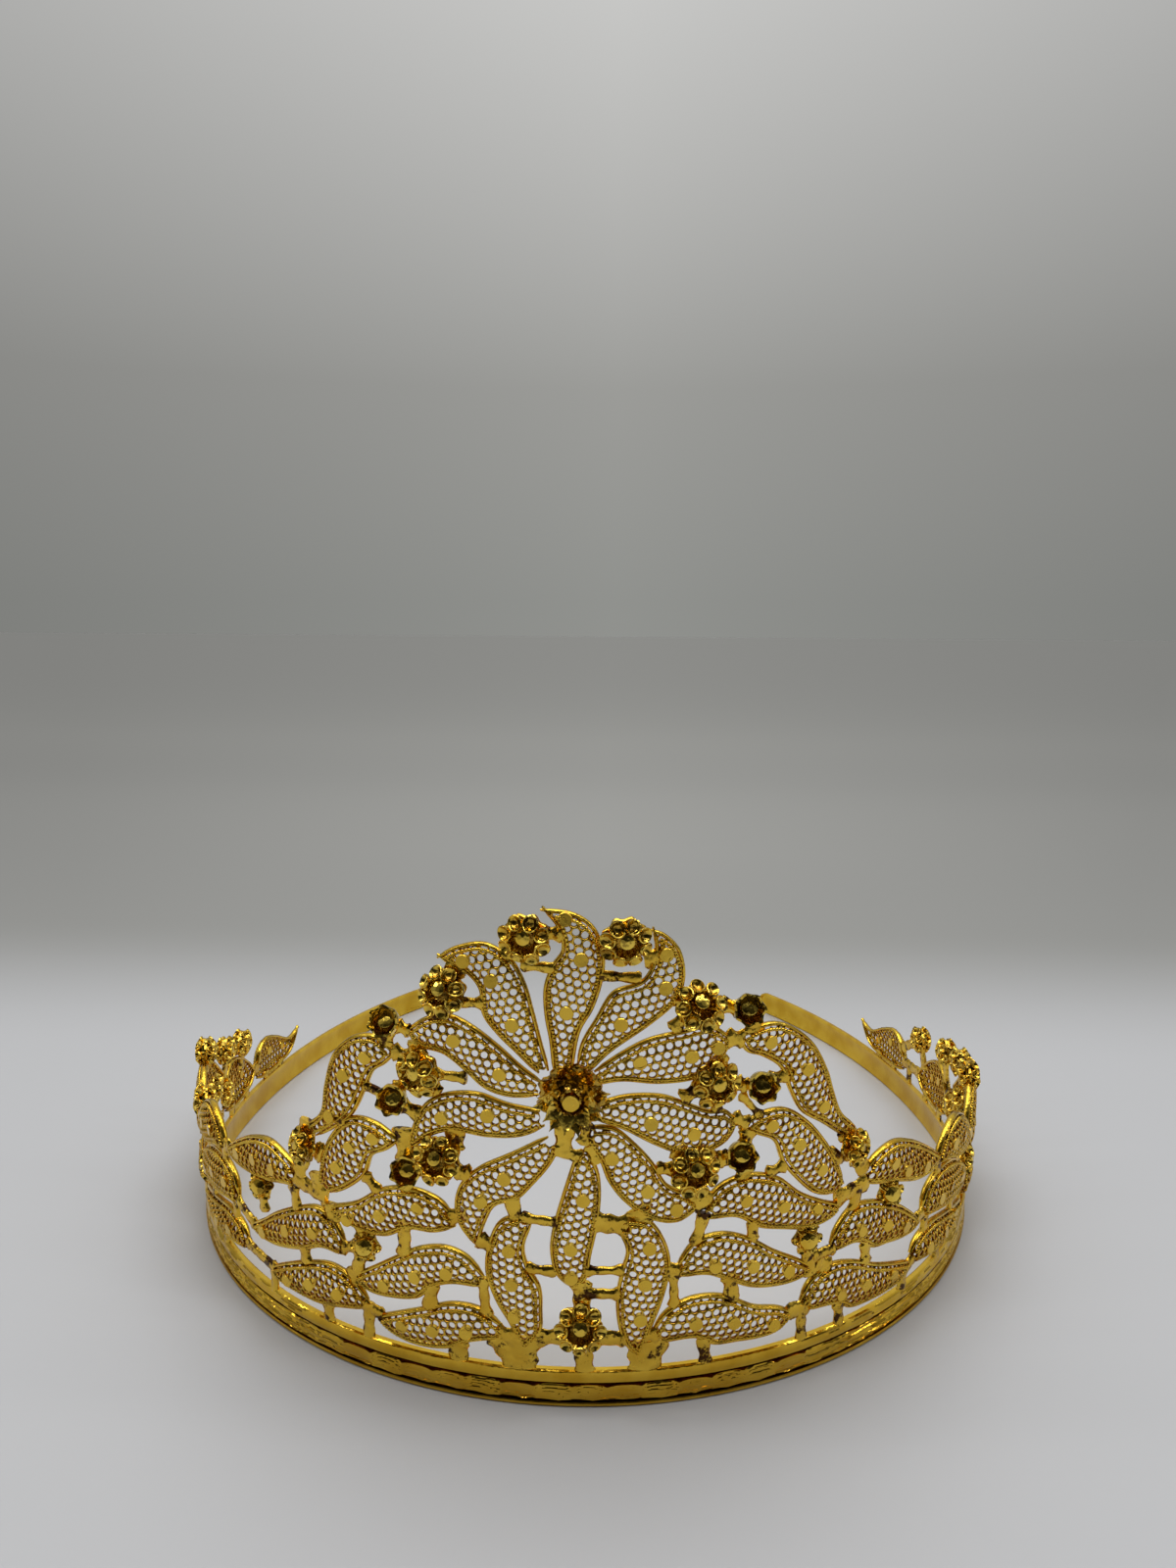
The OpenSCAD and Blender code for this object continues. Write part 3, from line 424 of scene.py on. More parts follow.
class Leaf:
    """A leaf's outline and the measures that the sheet, rims and discs are laid out with."""

    DOME = 1.1
    DOME_REACH = 3.0

    def __init__(self, first, second, tip):
        self.outer = curve([*first, tip], 8)
        self.inner = curve([*second, tip], 8)
        self.ring = np.vstack([self.outer, self.inner[-2::-1]])
        self.middle = (self.outer + self.inner) / 2
        nexts = np.roll(self.ring, -1, axis=0)
        self.starts, self.steps = self.ring, nexts - self.ring
        area = np.sum(self.ring[:, 0] * nexts[:, 1] - nexts[:, 0] * self.ring[:, 1])
        self.turn = 1.0 if area > 0 else -1.0

    def depth(self, points):
        """Distance inside the outline (negative outside), the nearest outline point and its inward normal."""
        points = np.asarray(points, float)
        rel = points[:, None, :] - self.starts[None]
        along = np.sum(rel * self.steps[None], -1) / np.maximum(np.sum(self.steps**2, -1), 1e-9)[None]
        along = np.clip(along, 0, 1)
        near = self.starts[None] + along[..., None] * self.steps[None]
        far = np.linalg.norm(points[:, None, :] - near, axis=-1)
        best = np.argmin(far, axis=1)
        pick = np.arange(len(points))
        x, y = points[:, 0][:, None], points[:, 1][:, None]
        y0, y1 = self.starts[None, :, 1], (self.starts + self.steps)[None, :, 1]
        crosses = (y0 > y) != (y1 > y)
        rise = np.where(np.abs(self.steps[None, :, 1]) < 1e-9, 1e-9, self.steps[None, :, 1])
        hit = self.starts[None, :, 0] + (y - y0) / rise * self.steps[None, :, 0]
        inside = np.sum(crosses & (x < hit), axis=1) % 2 == 1
        step = self.steps[best]
        normal = np.stack([-step[:, 1], step[:, 0]], -1) * self.turn
        normal /= np.maximum(np.linalg.norm(normal, axis=1), 1e-9)[:, None]
        return np.where(inside, far[pick, best], -far[pick, best]), near[pick, best], normal

    def dome(self, depth):
        rise = np.clip(depth / self.DOME_REACH, 0, 1)
        return self.DOME * (1 - (1 - rise) ** 2)


# ---------------------------------------------------------------- the pierced leaf
PITCH = 1.16
HOLE = 0.435
EDGE = 0.30
# Rings of one cell: radius (None for the cell's border) and height from the sheet's middle
CELL_RINGS = (
    (None, 0.30), (HOLE + 0.07, 0.25), (HOLE, 0.10), (HOLE, -0.10), (HOLE + 0.04, -0.18), (None, -0.22),
)
CELL_SIDES = 12
# A flat disc's profile: radius and height from the sheet's middle
DISC_RADIUS = 0.92
DISC_PROFILE = (
    (0.6, -0.34), (0.86, -0.30), (DISC_RADIUS, 0.1), (DISC_RADIUS, 0.3), (DISC_RADIUS - 0.07, 0.38),
)


def lattice(leaf, angle):
    """Centres of the honeycomb's cells that lie on the leaf."""
    centre = leaf.middle[len(leaf.middle) // 2]
    a = PITCH * np.array([math.cos(angle), math.sin(angle)])
    b = PITCH * np.array([math.cos(angle + math.pi / 3), math.sin(angle + math.pi / 3)])
    grid = [centre + i * a + j * b for i in range(-24, 25) for j in range(-24, 25)]
    grid = np.array([p for p in grid if np.linalg.norm(p - centre) < 18])
    return grid[leaf.depth(grid)[0] > 0.3]


def honeycomb(metal, leaf, centres, angle):
    """The pierced sheet: one ring-shaped cell round each centre, cut off at the leaf's edge."""
    corners = angle + np.arange(CELL_SIDES) * math.pi / 6
    border = np.where(np.arange(CELL_SIDES) % 2 == 0, PITCH / 2, PITCH / math.sqrt(3))
    ways = np.stack([np.cos(corners), np.sin(corners)], -1)
    faces = grid_faces(len(CELL_RINGS), CELL_SIDES, flip=True)
    radii = [border if radius is None else np.full(CELL_SIDES, radius) for radius, _ in CELL_RINGS]
    cell = np.concatenate([ways * radius[:, None] for radius in radii])
    lift = np.repeat([height for _, height in CELL_RINGS], CELL_SIDES)
    flat = (centres[:, None, :] + cell[None]).reshape(-1, 2)
    depth, near, normal = leaf.depth(flat)
    flat = np.where((depth < EDGE)[:, None], near + normal * EDGE, flat)
    depth = np.maximum(depth, EDGE)
    lifts = np.tile(lift, len(centres))
    # Painted shade: the walls of the holes are fully darkened, the faces of the cells a little
    painted_shade = np.where(np.abs(lifts) < 0.15, 1.0, 0.1)
    verts = on_wall(np.column_stack([flat, leaf.dome(depth) + lifts]))
    starts = range(0, len(verts), len(cell))
    metal.add(verts, [tuple(i + start for i in face) for start in starts for face in faces], painted_shade)


def tube(metal, path, height, radii_in, radii_out, sides=8, painted_shade=0.0):
    """A closed wire along a path of (s, z) on the wall; radii_in is its half width in the wall."""
    tangent = np.gradient(path, axis=0)
    tangent /= np.maximum(np.linalg.norm(tangent, axis=1), 1e-9)[:, None]
    normal = np.stack([-tangent[:, 1], tangent[:, 0]], -1)
    angles = np.arange(sides) * 2 * math.pi / sides
    reach = np.cos(angles)[None, :, None] * radii_in[:, None, None]
    flat = path[:, None, :] + normal[:, None, :] * reach
    high = height[:, None] + np.sin(angles)[None] * radii_out[:, None]
    points = np.concatenate([flat.reshape(-1, 2), high.reshape(-1, 1)], -1)
    faces = grid_faces(len(path), sides)
    faces.append(tuple(range(sides))[::-1])
    faces.append(tuple(range((len(path) - 1) * sides, len(path) * sides)))
    metal.add(on_wall(points), faces, painted_shade)


def drawn_in(leaf, path, distance):
    """The path moved into the leaf by a distance, and how deep each of its points then lies."""
    tangent = np.gradient(path, axis=0)
    normal = np.stack([-tangent[:, 1], tangent[:, 0]], -1)
    normal /= np.maximum(np.linalg.norm(normal, axis=1), 1e-9)[:, None]
    middle = len(path) // 2
    if leaf.depth([path[middle] + normal[middle] * 0.3])[0][0] < 0:
        normal = -normal
    moved = path + normal * distance
    return moved, leaf.depth(moved)[0]


def rims(metal, leaf):
    """A smooth wire round the edge and a row of grains just inside it."""
    for edge in (leaf.outer, leaf.inner):
        path, stops = even(edge, 0.35)
        path, _ = drawn_in(leaf, path, 0.26)
        ends = np.minimum(stops, stops[-1] - stops)
        taper = np.clip(0.45 + ends / 2.5, 0.45, 1.0)
        tube(metal, path, np.full(len(path), -0.05), 0.30 * taper, 0.52 * taper)
        path, stops = even(edge, 0.1)
        path, depth = drawn_in(leaf, path, 0.78)
        keep = depth > 0.68
        path, depth, stops = path[keep], depth[keep], stops[keep]
        if len(path) > 20:
            size = 0.17 + 0.10 * np.abs(np.sin(stops * math.pi / 0.5))
            tube(metal, path, leaf.dome(depth) + 0.18, size, size * 1.15, 6)


def disc(metal, leaf, centre):
    """A flat polished disc over one cell, leaning a little."""
    lean = SEED.uniform(-0.12, 0.12, 2)
    verts, faces = revolve(DISC_PROFILE, 20)
    base = leaf.dome(leaf.depth([centre])[0])[0]
    high = base + verts[:, 2] + verts[:, 0] * lean[0] + verts[:, 1] * lean[1]
    metal.add(on_wall(np.column_stack([verts[:, :2] + centre, high])), faces)


def make_leaf(name, shape):
    """A leaf in three pieces: the pierced sheet, its rims and its flat discs."""
    leaf = Leaf(*shape)
    whole = leaf.middle[-1] - leaf.middle[0]
    angle = math.atan2(whole[1], whole[0]) + SEED.uniform(-0.25, 0.25)
    centres = lattice(leaf, angle)
    sheet = Metal()
    honeycomb(sheet, leaf, centres, angle)
    sheet.piece(name + "_sheet", SHEET_GOLD, (name,), merge=2e-6, sharp=60)
    rim = Metal()
    rims(rim, leaf)
    rim.piece(name + "_rim", RIM_GOLD, sharp=80)
    # On a petal the discs lie on the middle; on the other leaves they stray a little from it
    stray = 0.0 if name in PETAL_STATIONS else 0.5
    spots = []
    for station in PETAL_STATIONS.get(name, LEAF_STATIONS):
        spot = leaf.middle[int(station * (len(leaf.middle) - 1))]
        spots.append(spot + SEED.uniform(-stray, stray, 2) if stray else spot)
    discs = Metal()
    for spot in spots:
        disc(discs, leaf, centres[np.argmin(np.linalg.norm(centres - np.array(spot), axis=1))])
    discs.piece(name + "_discs", DISC_GOLD, sharp=30)


# How far along a leaf its flat discs lie, from the base to the tip
LEAF_STATIONS = (0.28, 0.5, 0.74)
PETAL_STATIONS = {
    "petal_1": (0.3, 0.6, 0.85),
    "petal_2": (0.3, 0.55, 0.8),
    "petal_3": (0.3, 0.6, 0.85),
    "petal_4": (0.3, 0.6),
    "petal_5": (0.25, 0.55, 0.8),
    "petal_6": (0.35, 0.6),
    "petal_7": (0.3, 0.6),
    "petal_8": (0.3, 0.6),
    "petal_9": (0.3, 0.55, 0.8),
    "centre_leaf": (0.3, 0.6, 0.85),
}

# Each leaf: its two edges from the base on, and its tip, as (s, z)
LEAVES = {
    "petal_1": (
        [(0, 46.4), (0.9, 51.7), (2.6, 55), (3.7, 58.6), (3.9, 62), (2.7, 65.4), (0, 67.3)],
        [(-2.5, 46.4), (-2.9, 50.6), (-3.5, 54), (-3.6, 57.6), (-2.6, 60.6), (-1.4, 62.6), (-2, 65.4)],
        (-4, 67.8),
    ),
    "petal_2": (
        [(2, 46.4), (4.9, 49.4), (9.7, 52.8), (12.9, 55.6), (14, 58.8), (13.4, 62.2), (11.6, 64.3)],
        [(0.4, 47.4), (1.1, 50.6), (2.8, 53.7), (4.9, 57.2), (8.4, 58.5), (9.8, 60.6), (10.1, 63)],
        (9.6, 65.3),
    ),
    "petal_3": (
        [(2.4, 44.8), (6.2, 45.4), (11, 44.9), (15.6, 45.2), (18.4, 46.6)],
        [(2.6, 46.9), (6.3, 49.4), (9.6, 51), (13.6, 51.8), (17.4, 52.3)],
        (20.6, 50.2),
    ),
    "petal_4": (
        [(2.4, 40.4), (6.3, 39), (10.2, 36.8), (13.6, 35.3), (17.2, 35.1), (20, 36.3)],
        [(3.2, 42.7), (7, 43.6), (11.4, 43.4), (14.8, 42), (17.4, 40.9), (19.8, 40.6)],
        (21.7, 38.8),
    ),
    "petal_5": (
        [(2.2, 39.6), (5.4, 39.2), (8.2, 36.8), (10.4, 34.2), (12.2, 31.2), (14.8, 29.7)],
        [(1.4, 37.6), (3.4, 34.8), (4.6, 31.8), (6.8, 28.9), (10.2, 26.4), (13.8, 25.8)],
        (17, 27.8),
    ),
    "petal_6": (
        [(-3.2, 38), (-7.6, 35.5), (-12, 33.1), (-14.6, 30.4), (-15.4, 27.4), (-14.8, 24.6)],
        [(-1.4, 36.6), (-2.8, 33.9), (-5, 31.1), (-7, 29), (-9.8, 27.9), (-11.2, 25.4)],
        (-12.4, 21.6),
    ),
    "petal_7": (
        [(-4, 41.5), (-8.2, 42.1), (-12.1, 43.2), (-16, 42.8), (-19, 41.2), (-20.8, 38.4)],
        [(-3.4, 39.1), (-6.6, 37.7), (-10.8, 37.3), (-15.2, 37.6), (-18.2, 36.6), (-20.2, 35)],
        (-22.2, 33.8),
    ),
    "petal_8": (
        [(-3.6, 45.2), (-6.4, 47.2), (-9.3, 49.7), (-12.7, 52.1), (-15.8, 53.3), (-19, 52.6)],
        [(-4.2, 43.2), (-8, 43), (-11.2, 43.9), (-13.8, 46), (-16.6, 47.9), (-19.8, 48.5)],
        (-22, 50.4),
    ),
    "petal_9": (
        [(-2.8, 46.8), (-3.8, 50.4), (-4.8, 54.4), (-5.9, 58.2), (-7.8, 61.4), (-11, 63.1), (-14.6, 62.4)],
        [(-4.4, 46.2), (-7.1, 48.9), (-9.6, 51.3), (-11.4, 53.8), (-11.8, 57), (-13.4, 58.9), (-15.4, 59.8)],
        (-17.4, 60.8),
    ),
    "centre_leaf": (
        [(2, 36.2), (3.4, 33.2), (3.7, 29.6), (3.3, 25.4), (2.5, 21.4), (2.1, 18.6)],
        [(0.6, 36.2), (-0.5, 32.6), (-1.6, 28.8), (-2.5, 25.2), (-2.8, 22), (-2, 18.8)],
        (0.4, 16.6),
    ),
    "lyre_leaf_left": (
        [(-6.6, 27.2), (-9.5, 25.7), (-11, 22.2), (-11.3, 18.4), (-10, 14.5), (-8.2, 11.4)],
        [(-5, 25.8), (-6.1, 22.6), (-5.6, 19.8), (-4, 16.8), (-3.8, 13.4), (-4, 10.4)],
        (-6.2, 7.4),
    ),
    "lyre_leaf_right": (
        [(6.8, 27.3), (9.8, 26.5), (11.9, 23.7), (12.9, 20), (12.1, 15.4), (10.7, 11.4)],
        [(5.8, 25.2), (7, 22.2), (6.4, 19.4), (5.8, 15.8), (6, 12), (6.9, 9)],
        (9, 6.4),
    ),
    "left_crest_leaf": (
        [(-39, 33.6), (-36, 36.3), (-35.1, 40.4), (-33.4, 45.2), (-30, 48.3), (-26.4, 49)],
        [(-37, 32.2), (-33.6, 34.4), (-30.4, 37.2), (-28.4, 40.8), (-26.9, 43.9), (-25, 45.3)],
        (-23.2, 47.2),
    ),
    "left_rising_leaf": (
        [(-36.9, 25.6), (-36, 30), (-34, 33.8), (-30.8, 36.8), (-26.8, 36.9)],
        [(-34.6, 24.5), (-31.6, 26.2), (-28.7, 28.8), (-27.4, 31.9), (-25, 33.3)],
        (-23, 35),
    ),
    "left_high_leaf_1": (
        [(-15.5, 25.6), (-17.6, 27.8), (-21.6, 28.7), (-26, 27.7), (-30, 24.9), (-33.4, 23.4)],
        [(-15.3, 24), (-18.4, 22.9), (-22, 22.6), (-25.6, 20.8), (-29.6, 20.6), (-33.4, 21.3)],
        (-36.4, 22.6),
    ),
    "left_high_leaf_2": (
        [(-41, 25.8), (-43.6, 27.5), (-47.6, 28.6), (-52, 27.6), (-56.4, 25.4)],
        [(-41.6, 23.4), (-44.6, 22.8), (-48.6, 21.8), (-53, 21.2), (-57.4, 21.2)],
        (-61, 22.6),
    ),
    "left_mid_leaf_1": (
        [(-11.4, 17.8), (-13.8, 20.3), (-17, 21.2), (-20.8, 20.3), (-24.4, 18.1), (-28, 15.7)],
        [(-11.6, 16), (-15.6, 16), (-18.4, 15), (-20.8, 12.9), (-24.6, 12), (-28.4, 11.9)],
        (-31.6, 13.4),
    ),
    "left_mid_leaf_2": (
        [(-32.2, 17.8), (-34.2, 20.7), (-37.6, 21.8), (-41.6, 20.4), (-46.4, 17.8), (-50.4, 15)],
        [(-32.6, 15.8), (-36.6, 15.8), (-40.2, 14.2), (-44.4, 12.9), (-47.6, 12.2), (-50.6, 12.2)],
        (-53.8, 13),
    ),
    "left_low_leaf_1": (
        [(-8.8, 10.8), (-12, 13), (-16, 13.2), (-20, 11.7), (-24.4, 9.9)],
        [(-8.8, 9), (-13.2, 8), (-16.6, 6.4), (-21, 5.9), (-24.8, 6.6)],
        (-27.8, 8.4),
    ),
    "left_low_leaf_2": (
        [(-28.6, 10.6), (-31.2, 13), (-35.4, 13.9), (-40, 12.6), (-44.8, 10.4)],
        [(-28.8, 9), (-32.6, 8), (-37, 7), (-41.4, 6.8), (-45.6, 7)],
        (-48.8, 8.2),
    ),
    "right_crest_leaf": (
        [(40.6, 34.4), (37.6, 37.2), (36, 40.8), (34.8, 44), (32.2, 48.2), (28.2, 51.2), (24.8, 51.7)],
        [(38.4, 33.2), (34.4, 36.2), (30.9, 38.6), (28.9, 42), (27.4, 45.3), (24.6, 47.3), (22.4, 48.2)],
        (21, 50.4),
    ),
    "right_rising_leaf": (
        [(38.8, 26.6), (37.4, 30), (35, 33.8), (32, 37.2), (28.4, 39.6), (24.6, 39.5)],
        [(37, 25.2), (33.4, 26.4), (30.2, 29.4), (28.2, 32), (26.8, 35.2), (24.2, 36.6)],
        (21.6, 37.9),
    ),
    "right_high_leaf_1": (
        [(17, 27.6), (19.2, 30.2), (23.2, 31.3), (27.6, 30.1), (31.4, 27), (35.4, 24.8)],
        [(17.2, 25.6), (21.6, 25.4), (24.8, 23.4), (28.6, 22.3), (32.8, 21.4), (36.4, 21.8)],
        (38.8, 23.4),
    ),
    "right_high_leaf_2": (
        [(42.8, 27.2), (45, 28.9), (49, 29.7), (53.2, 28.4), (57.6, 26)],
        [(42.8, 25), (46.4, 23.9), (50.4, 22.8), (55, 21.3), (59, 20.9)],
        (63.2, 22.4),
    ),
    "right_mid_leaf_1": (
        [(13.4, 19.2), (15.8, 22.6), (19.6, 23.5), (23.6, 22.2), (27.6, 19.5), (31.4, 17.3)],
        [(13.8, 17.8), (17.6, 17.8), (20.6, 16.5), (24.2, 14.8), (28.2, 14.1), (31.6, 14.2)],
        (34.4, 15.2),
    ),
    "right_mid_leaf_2": (
        [(36.6, 18), (38.2, 20.6), (41, 22.5), (45.4, 21.8), (50.2, 19.6), (54, 17)],
        [(37.4, 16.5), (41.6, 16.6), (45, 14.6), (48.4, 14), (51.8, 13.4), (54.4, 13.4)],
        (57, 14.4),
    ),
    "right_low_leaf_1": (
        [(10.4, 10.4), (12.4, 13.2), (16, 14.8), (20.4, 14.4), (24.8, 12), (28.6, 10.9)],
        [(11.4, 8.6), (16.2, 8.8), (19, 7.4), (22.4, 7.2), (25.6, 7), (28.6, 7.4)],
        (31.2, 9.4),
    ),
    "right_low_leaf_2": (
        [(31.8, 10.8), (33.6, 13.6), (37.4, 14.8), (41.6, 13.9), (46, 11.8), (50.6, 10.1)],
        [(32.8, 9), (37.8, 8.4), (41, 6.8), (44.4, 6.4), (48, 6.3), (51.8, 6.6)],
        (55, 8.6),
    ),
}

# The flanks are alike: these are drawn for the right-hand one
FLANK_LEAVES = {
    "side_high_leaf": (
        [(62, 22.2), (64.6, 25), (69, 26.4), (74, 24.6), (79, 21)],
        [(62.2, 20.8), (66, 20), (70, 18.4), (74.6, 17.2), (79.6, 16.6)],
        (84, 17.4),
    ),
    "side_mid_leaf": (
        [(57.4, 15.6), (59, 18.6), (63, 20), (68, 19.4), (73.6, 17)],
        [(57.8, 14), (61, 13.4), (65, 12.4), (69.6, 11.6), (74, 11.2)],
        (79, 13.4),
    ),
    "side_low_leaf": (
        [(54.8, 9.8), (57, 11.6), (61, 12.2), (66, 11.2), (72, 9.6)],
        [(55.4, 7.8), (59, 7), (64, 6.2), (69, 6.2), (74, 6.6)],
        (78, 8),
    ),
    "ear_high_leaf": (
        [(81, 17), (83.6, 21.4), (88, 24), (93.6, 23.6), (99.4, 20)],
        [(81.4, 14.4), (86, 13), (90, 12.4), (94.4, 12.2), (100, 12.8)],
        (105, 15.4),
    ),
    "ear_low_leaf": (
        [(79.6, 9.6), (82, 12), (86, 12.4), (91, 12), (97, 11.6)],
        [(80.4, 7), (84, 6.4), (88.6, 6), (93, 6), (98, 6)],
        (103.6, 8.4),
    ),
    "rear_leaf": (
        [(104.8, 11.4), (106.4, 14.6), (110, 16), (114, 14.8), (118, 12)],
        [(105, 7.4), (108, 6.4), (111.6, 6), (115, 6.2), (118.2, 6.8)],
        (120.6, 9),
    ),
    "end_leaf": (
        [(121.2, 9.2), (123, 12.4), (126.6, 13.8), (131, 12.4), (136, 10)],
        [(121.4, 6.6), (124, 5.9), (128, 5.6), (132.4, 5.7), (136.6, 6.8)],
        (140, 11),
    ),
}
RIGHT_STEPS = {"rear_leaf": 4.0, "end_leaf": 10.0}


def moved(shape, side, step):
    """The shape carried along the wall by a step, or flipped to the left-hand side."""
    def carried(points):
        return [(side * (s + step), z) for s, z in points]

    first, second, tip = shape
    return carried(first), carried(second), carried([tip])[0]


for name, shape in FLANK_LEAVES.items():
    LEAVES["left_" + name] = moved(shape, -1, 0)
    LEAVES["right_" + name] = moved(shape, 1, RIGHT_STEPS.get(name, 0))

for name, shape in LEAVES.items():
    make_leaf(name, shape)


# ---------------------------------------------------------------- the band
LIP_TOP = 0.7
UPPER_LINE = 3.2
FACET = 4.7


def band_section(s):
    """The band's cross-section at s as rows of (z, d from the outer face, how much painted shade)."""
    # Towards the sides the facets give way to long grooves
    side = np.clip((abs(s) - 30) / 16, 0, 1)
    front = 1 - side
    beat = s / FACET
    lower_beat = 1.03 * beat + 0.37
    lean = 0.17 * math.sin(2.4 * math.floor(beat)) * front
    scallop = abs(math.sin(math.pi * beat)) ** 0.6
    lower_scallop = abs(math.sin(math.pi * lower_beat)) ** 0.6
    wander = 0.12 * math.sin(s / 3.1) + 0.07 * math.sin(s / 1.3)
    # Painted shade: full in the grooves under the lip and the rail, about a third over the outer faces to
    # darken their reflections, less towards the sides, little on the inside
    rows = [(0.0, -0.4, 0.3), (0.1, -0.12, 0.3), (0.3, -0.03, 0.3), (0.5, -0.05, 0.3), (0.62, -0.16, 0.5)]
    foot = LIP_TOP + 0.12 + 0.24 * lower_scallop * (1 - 0.6 * side)
    rows += [(0.68, -0.55, 1.0), (foot - 0.04, -0.58, 1.0), (foot, -0.24, 0.6)]
    crest = UPPER_LINE - 0.02 - 0.34 * (1 - scallop) * (1 - 0.7 * side)
    for z in np.linspace(foot + 0.06, crest - 0.06, 16):
        u = (z - 1.95) / 1.2
        slope = z + wander + 0.3 * math.sin(s / 8.3)
        groove = abs(math.sin(slope * math.pi * 1.7)) ** 1.2
        streak = 0.025 * math.sin(z * 17 + 3 * wander) + 0.2 * side * groove
        rows.append((z, -0.12 - 0.13 * u * u + lean * u - streak, 0.3 - 0.15 * side))
    rows += [(crest, -0.36, 0.3), (crest + 0.05, -0.66, 1.0)]
    rows += [(UPPER_LINE + 0.26, -0.66, 1.0), (UPPER_LINE + 0.32, -0.3, 0.6)]
    rail_lean = 0.06 * math.sin(3.1 * math.floor(beat * 1.4 + 0.2)) * front
    for z in np.linspace(UPPER_LINE + 0.40, BAND_HEIGHT - 0.14, 8):
        u = (z - 4.3) / 0.85
        groove = abs(math.sin((z + wander) * math.pi * 2.1))
        streak = 0.02 * math.sin(z * 15 - 2 * wander) + 0.12 * side * groove
        rows.append((z, -0.06 - 0.14 * u * u - 0.04 * u - rail_lean * u - streak, 0.2 - 0.1 * side))
    rows += [(BAND_HEIGHT, -0.5, 0)]
    inside = -BAND_THICKNESS
    rows += [(BAND_HEIGHT, inside + 0.25, 0), (BAND_HEIGHT - 0.1, inside + 0.06, 0), (4.8, inside, 0)]
    rows += [(4.5, inside + 0.06, 0), (4.0, inside + 0.25, 0.1), (2.6, inside + 0.32, 0.1)]
    rows += [(1.2, inside + 0.25, 0.1), (0.6, inside + 0.06, 0), (0.2, inside, 0), (0.0, inside + 0.2, 0.2)]
    return np.array(rows)


def band_strip(name, low, high):
    """One length of band between two places on the wall, as a closed strip."""
    count = int(abs(high - low) / 0.3)
    stops = np.linspace(low, high, count + 1)
    sections = [band_section(s) for s in stops]
    columns = len(sections[0])
    rows = []
    for s, part in zip(stops, sections):
        rows.append(np.column_stack([np.full(columns, s), part[:, 0], part[:, 1] + WALL_INSET]))
    faces = grid_faces(len(stops), columns)
    faces.append(tuple(range(columns))[::-1])
    faces.append(tuple(range((len(stops) - 1) * columns, len(stops) * columns)))
    metal = Metal()
    metal.add(on_wall(np.concatenate(rows)), faces, np.concatenate([part[:, 2] for part in sections]))
    metal.piece(name + "_metal", BAND_GOLD, (name,), sharp=24)


def band_end(name, side):
    """The half-round end of an arm, with a raised lip round it."""
    metal = Metal()
    start = side * (HALF_ARC + ARM_LENGTH)
    radius = BAND_HEIGHT / 2
    outer, inner = WALL_INSET, WALL_INSET - BAND_THICKNESS
    profile = [(0.0, inner + 0.55), (0.78, inner + 0.55), (0.86, inner), (0.96, inner), (1.0, inner + 0.2)]
    profile += [(1.0, outer - 0.5), (0.96, outer - 0.2), (0.84, outer - 0.1), (0.0, outer - 0.1)]
    rows = []
    for angle in np.linspace(-math.pi / 2, math.pi / 2, 25):
        along, up = math.cos(angle), math.sin(angle)
        rows.append([(start + side * along * radius * r, radius + up * radius * r, d) for r, d in profile])
    points = np.array(rows).reshape(-1, 3)
    metal.add(on_wall(points), grid_faces(len(rows), len(profile), wrap=False, flip=side < 0))
    metal.piece(name + "_metal", BAND_GOLD, (name,), merge=2e-6, sharp=35)


band_strip("band_front", -HALF_ARC, HALF_ARC)
band_strip("band_arm_left", -HALF_ARC - ARM_LENGTH, -HALF_ARC)
band_strip("band_arm_right", HALF_ARC, HALF_ARC + ARM_LENGTH)
band_end("end_cap_left", -1)
band_end("end_cap_right", 1)


# ---------------------------------------------------------------- flowers
def scoop(metal, place, angle, circle, size, rise, lean):
    """One spoon-shaped petal: a small bowl with a thick bright lip that faces out and away."""
    profile = [(0.1, -0.75), (0.55, -0.68), (0.88, -0.35), (1.0, 0.05), (0.97, 0.22), (0.86, 0.27)]
    profile += [(0.74, 0.16), (0.6, -0.12), (0.3, -0.3), (0.02, -0.34)]
    verts, faces = revolve(np.array(profile) * size, 14)
    verts[:, 0] *= 1.12
    # Painted shade inside the bowl, below its lip
    deep = np.repeat([0, 0, 0, 0, 0, 0, 0, 0.2, 0.4, 0.4], 14)
    turn = Matrix.Rotation(angle, 4, "Z") @ Matrix.Translation((circle, 0, rise))
    turn = turn @ Matrix.Rotation(math.radians(lean), 4, "Y")
    metal.add(placed(place @ turn, verts), faces, deep)


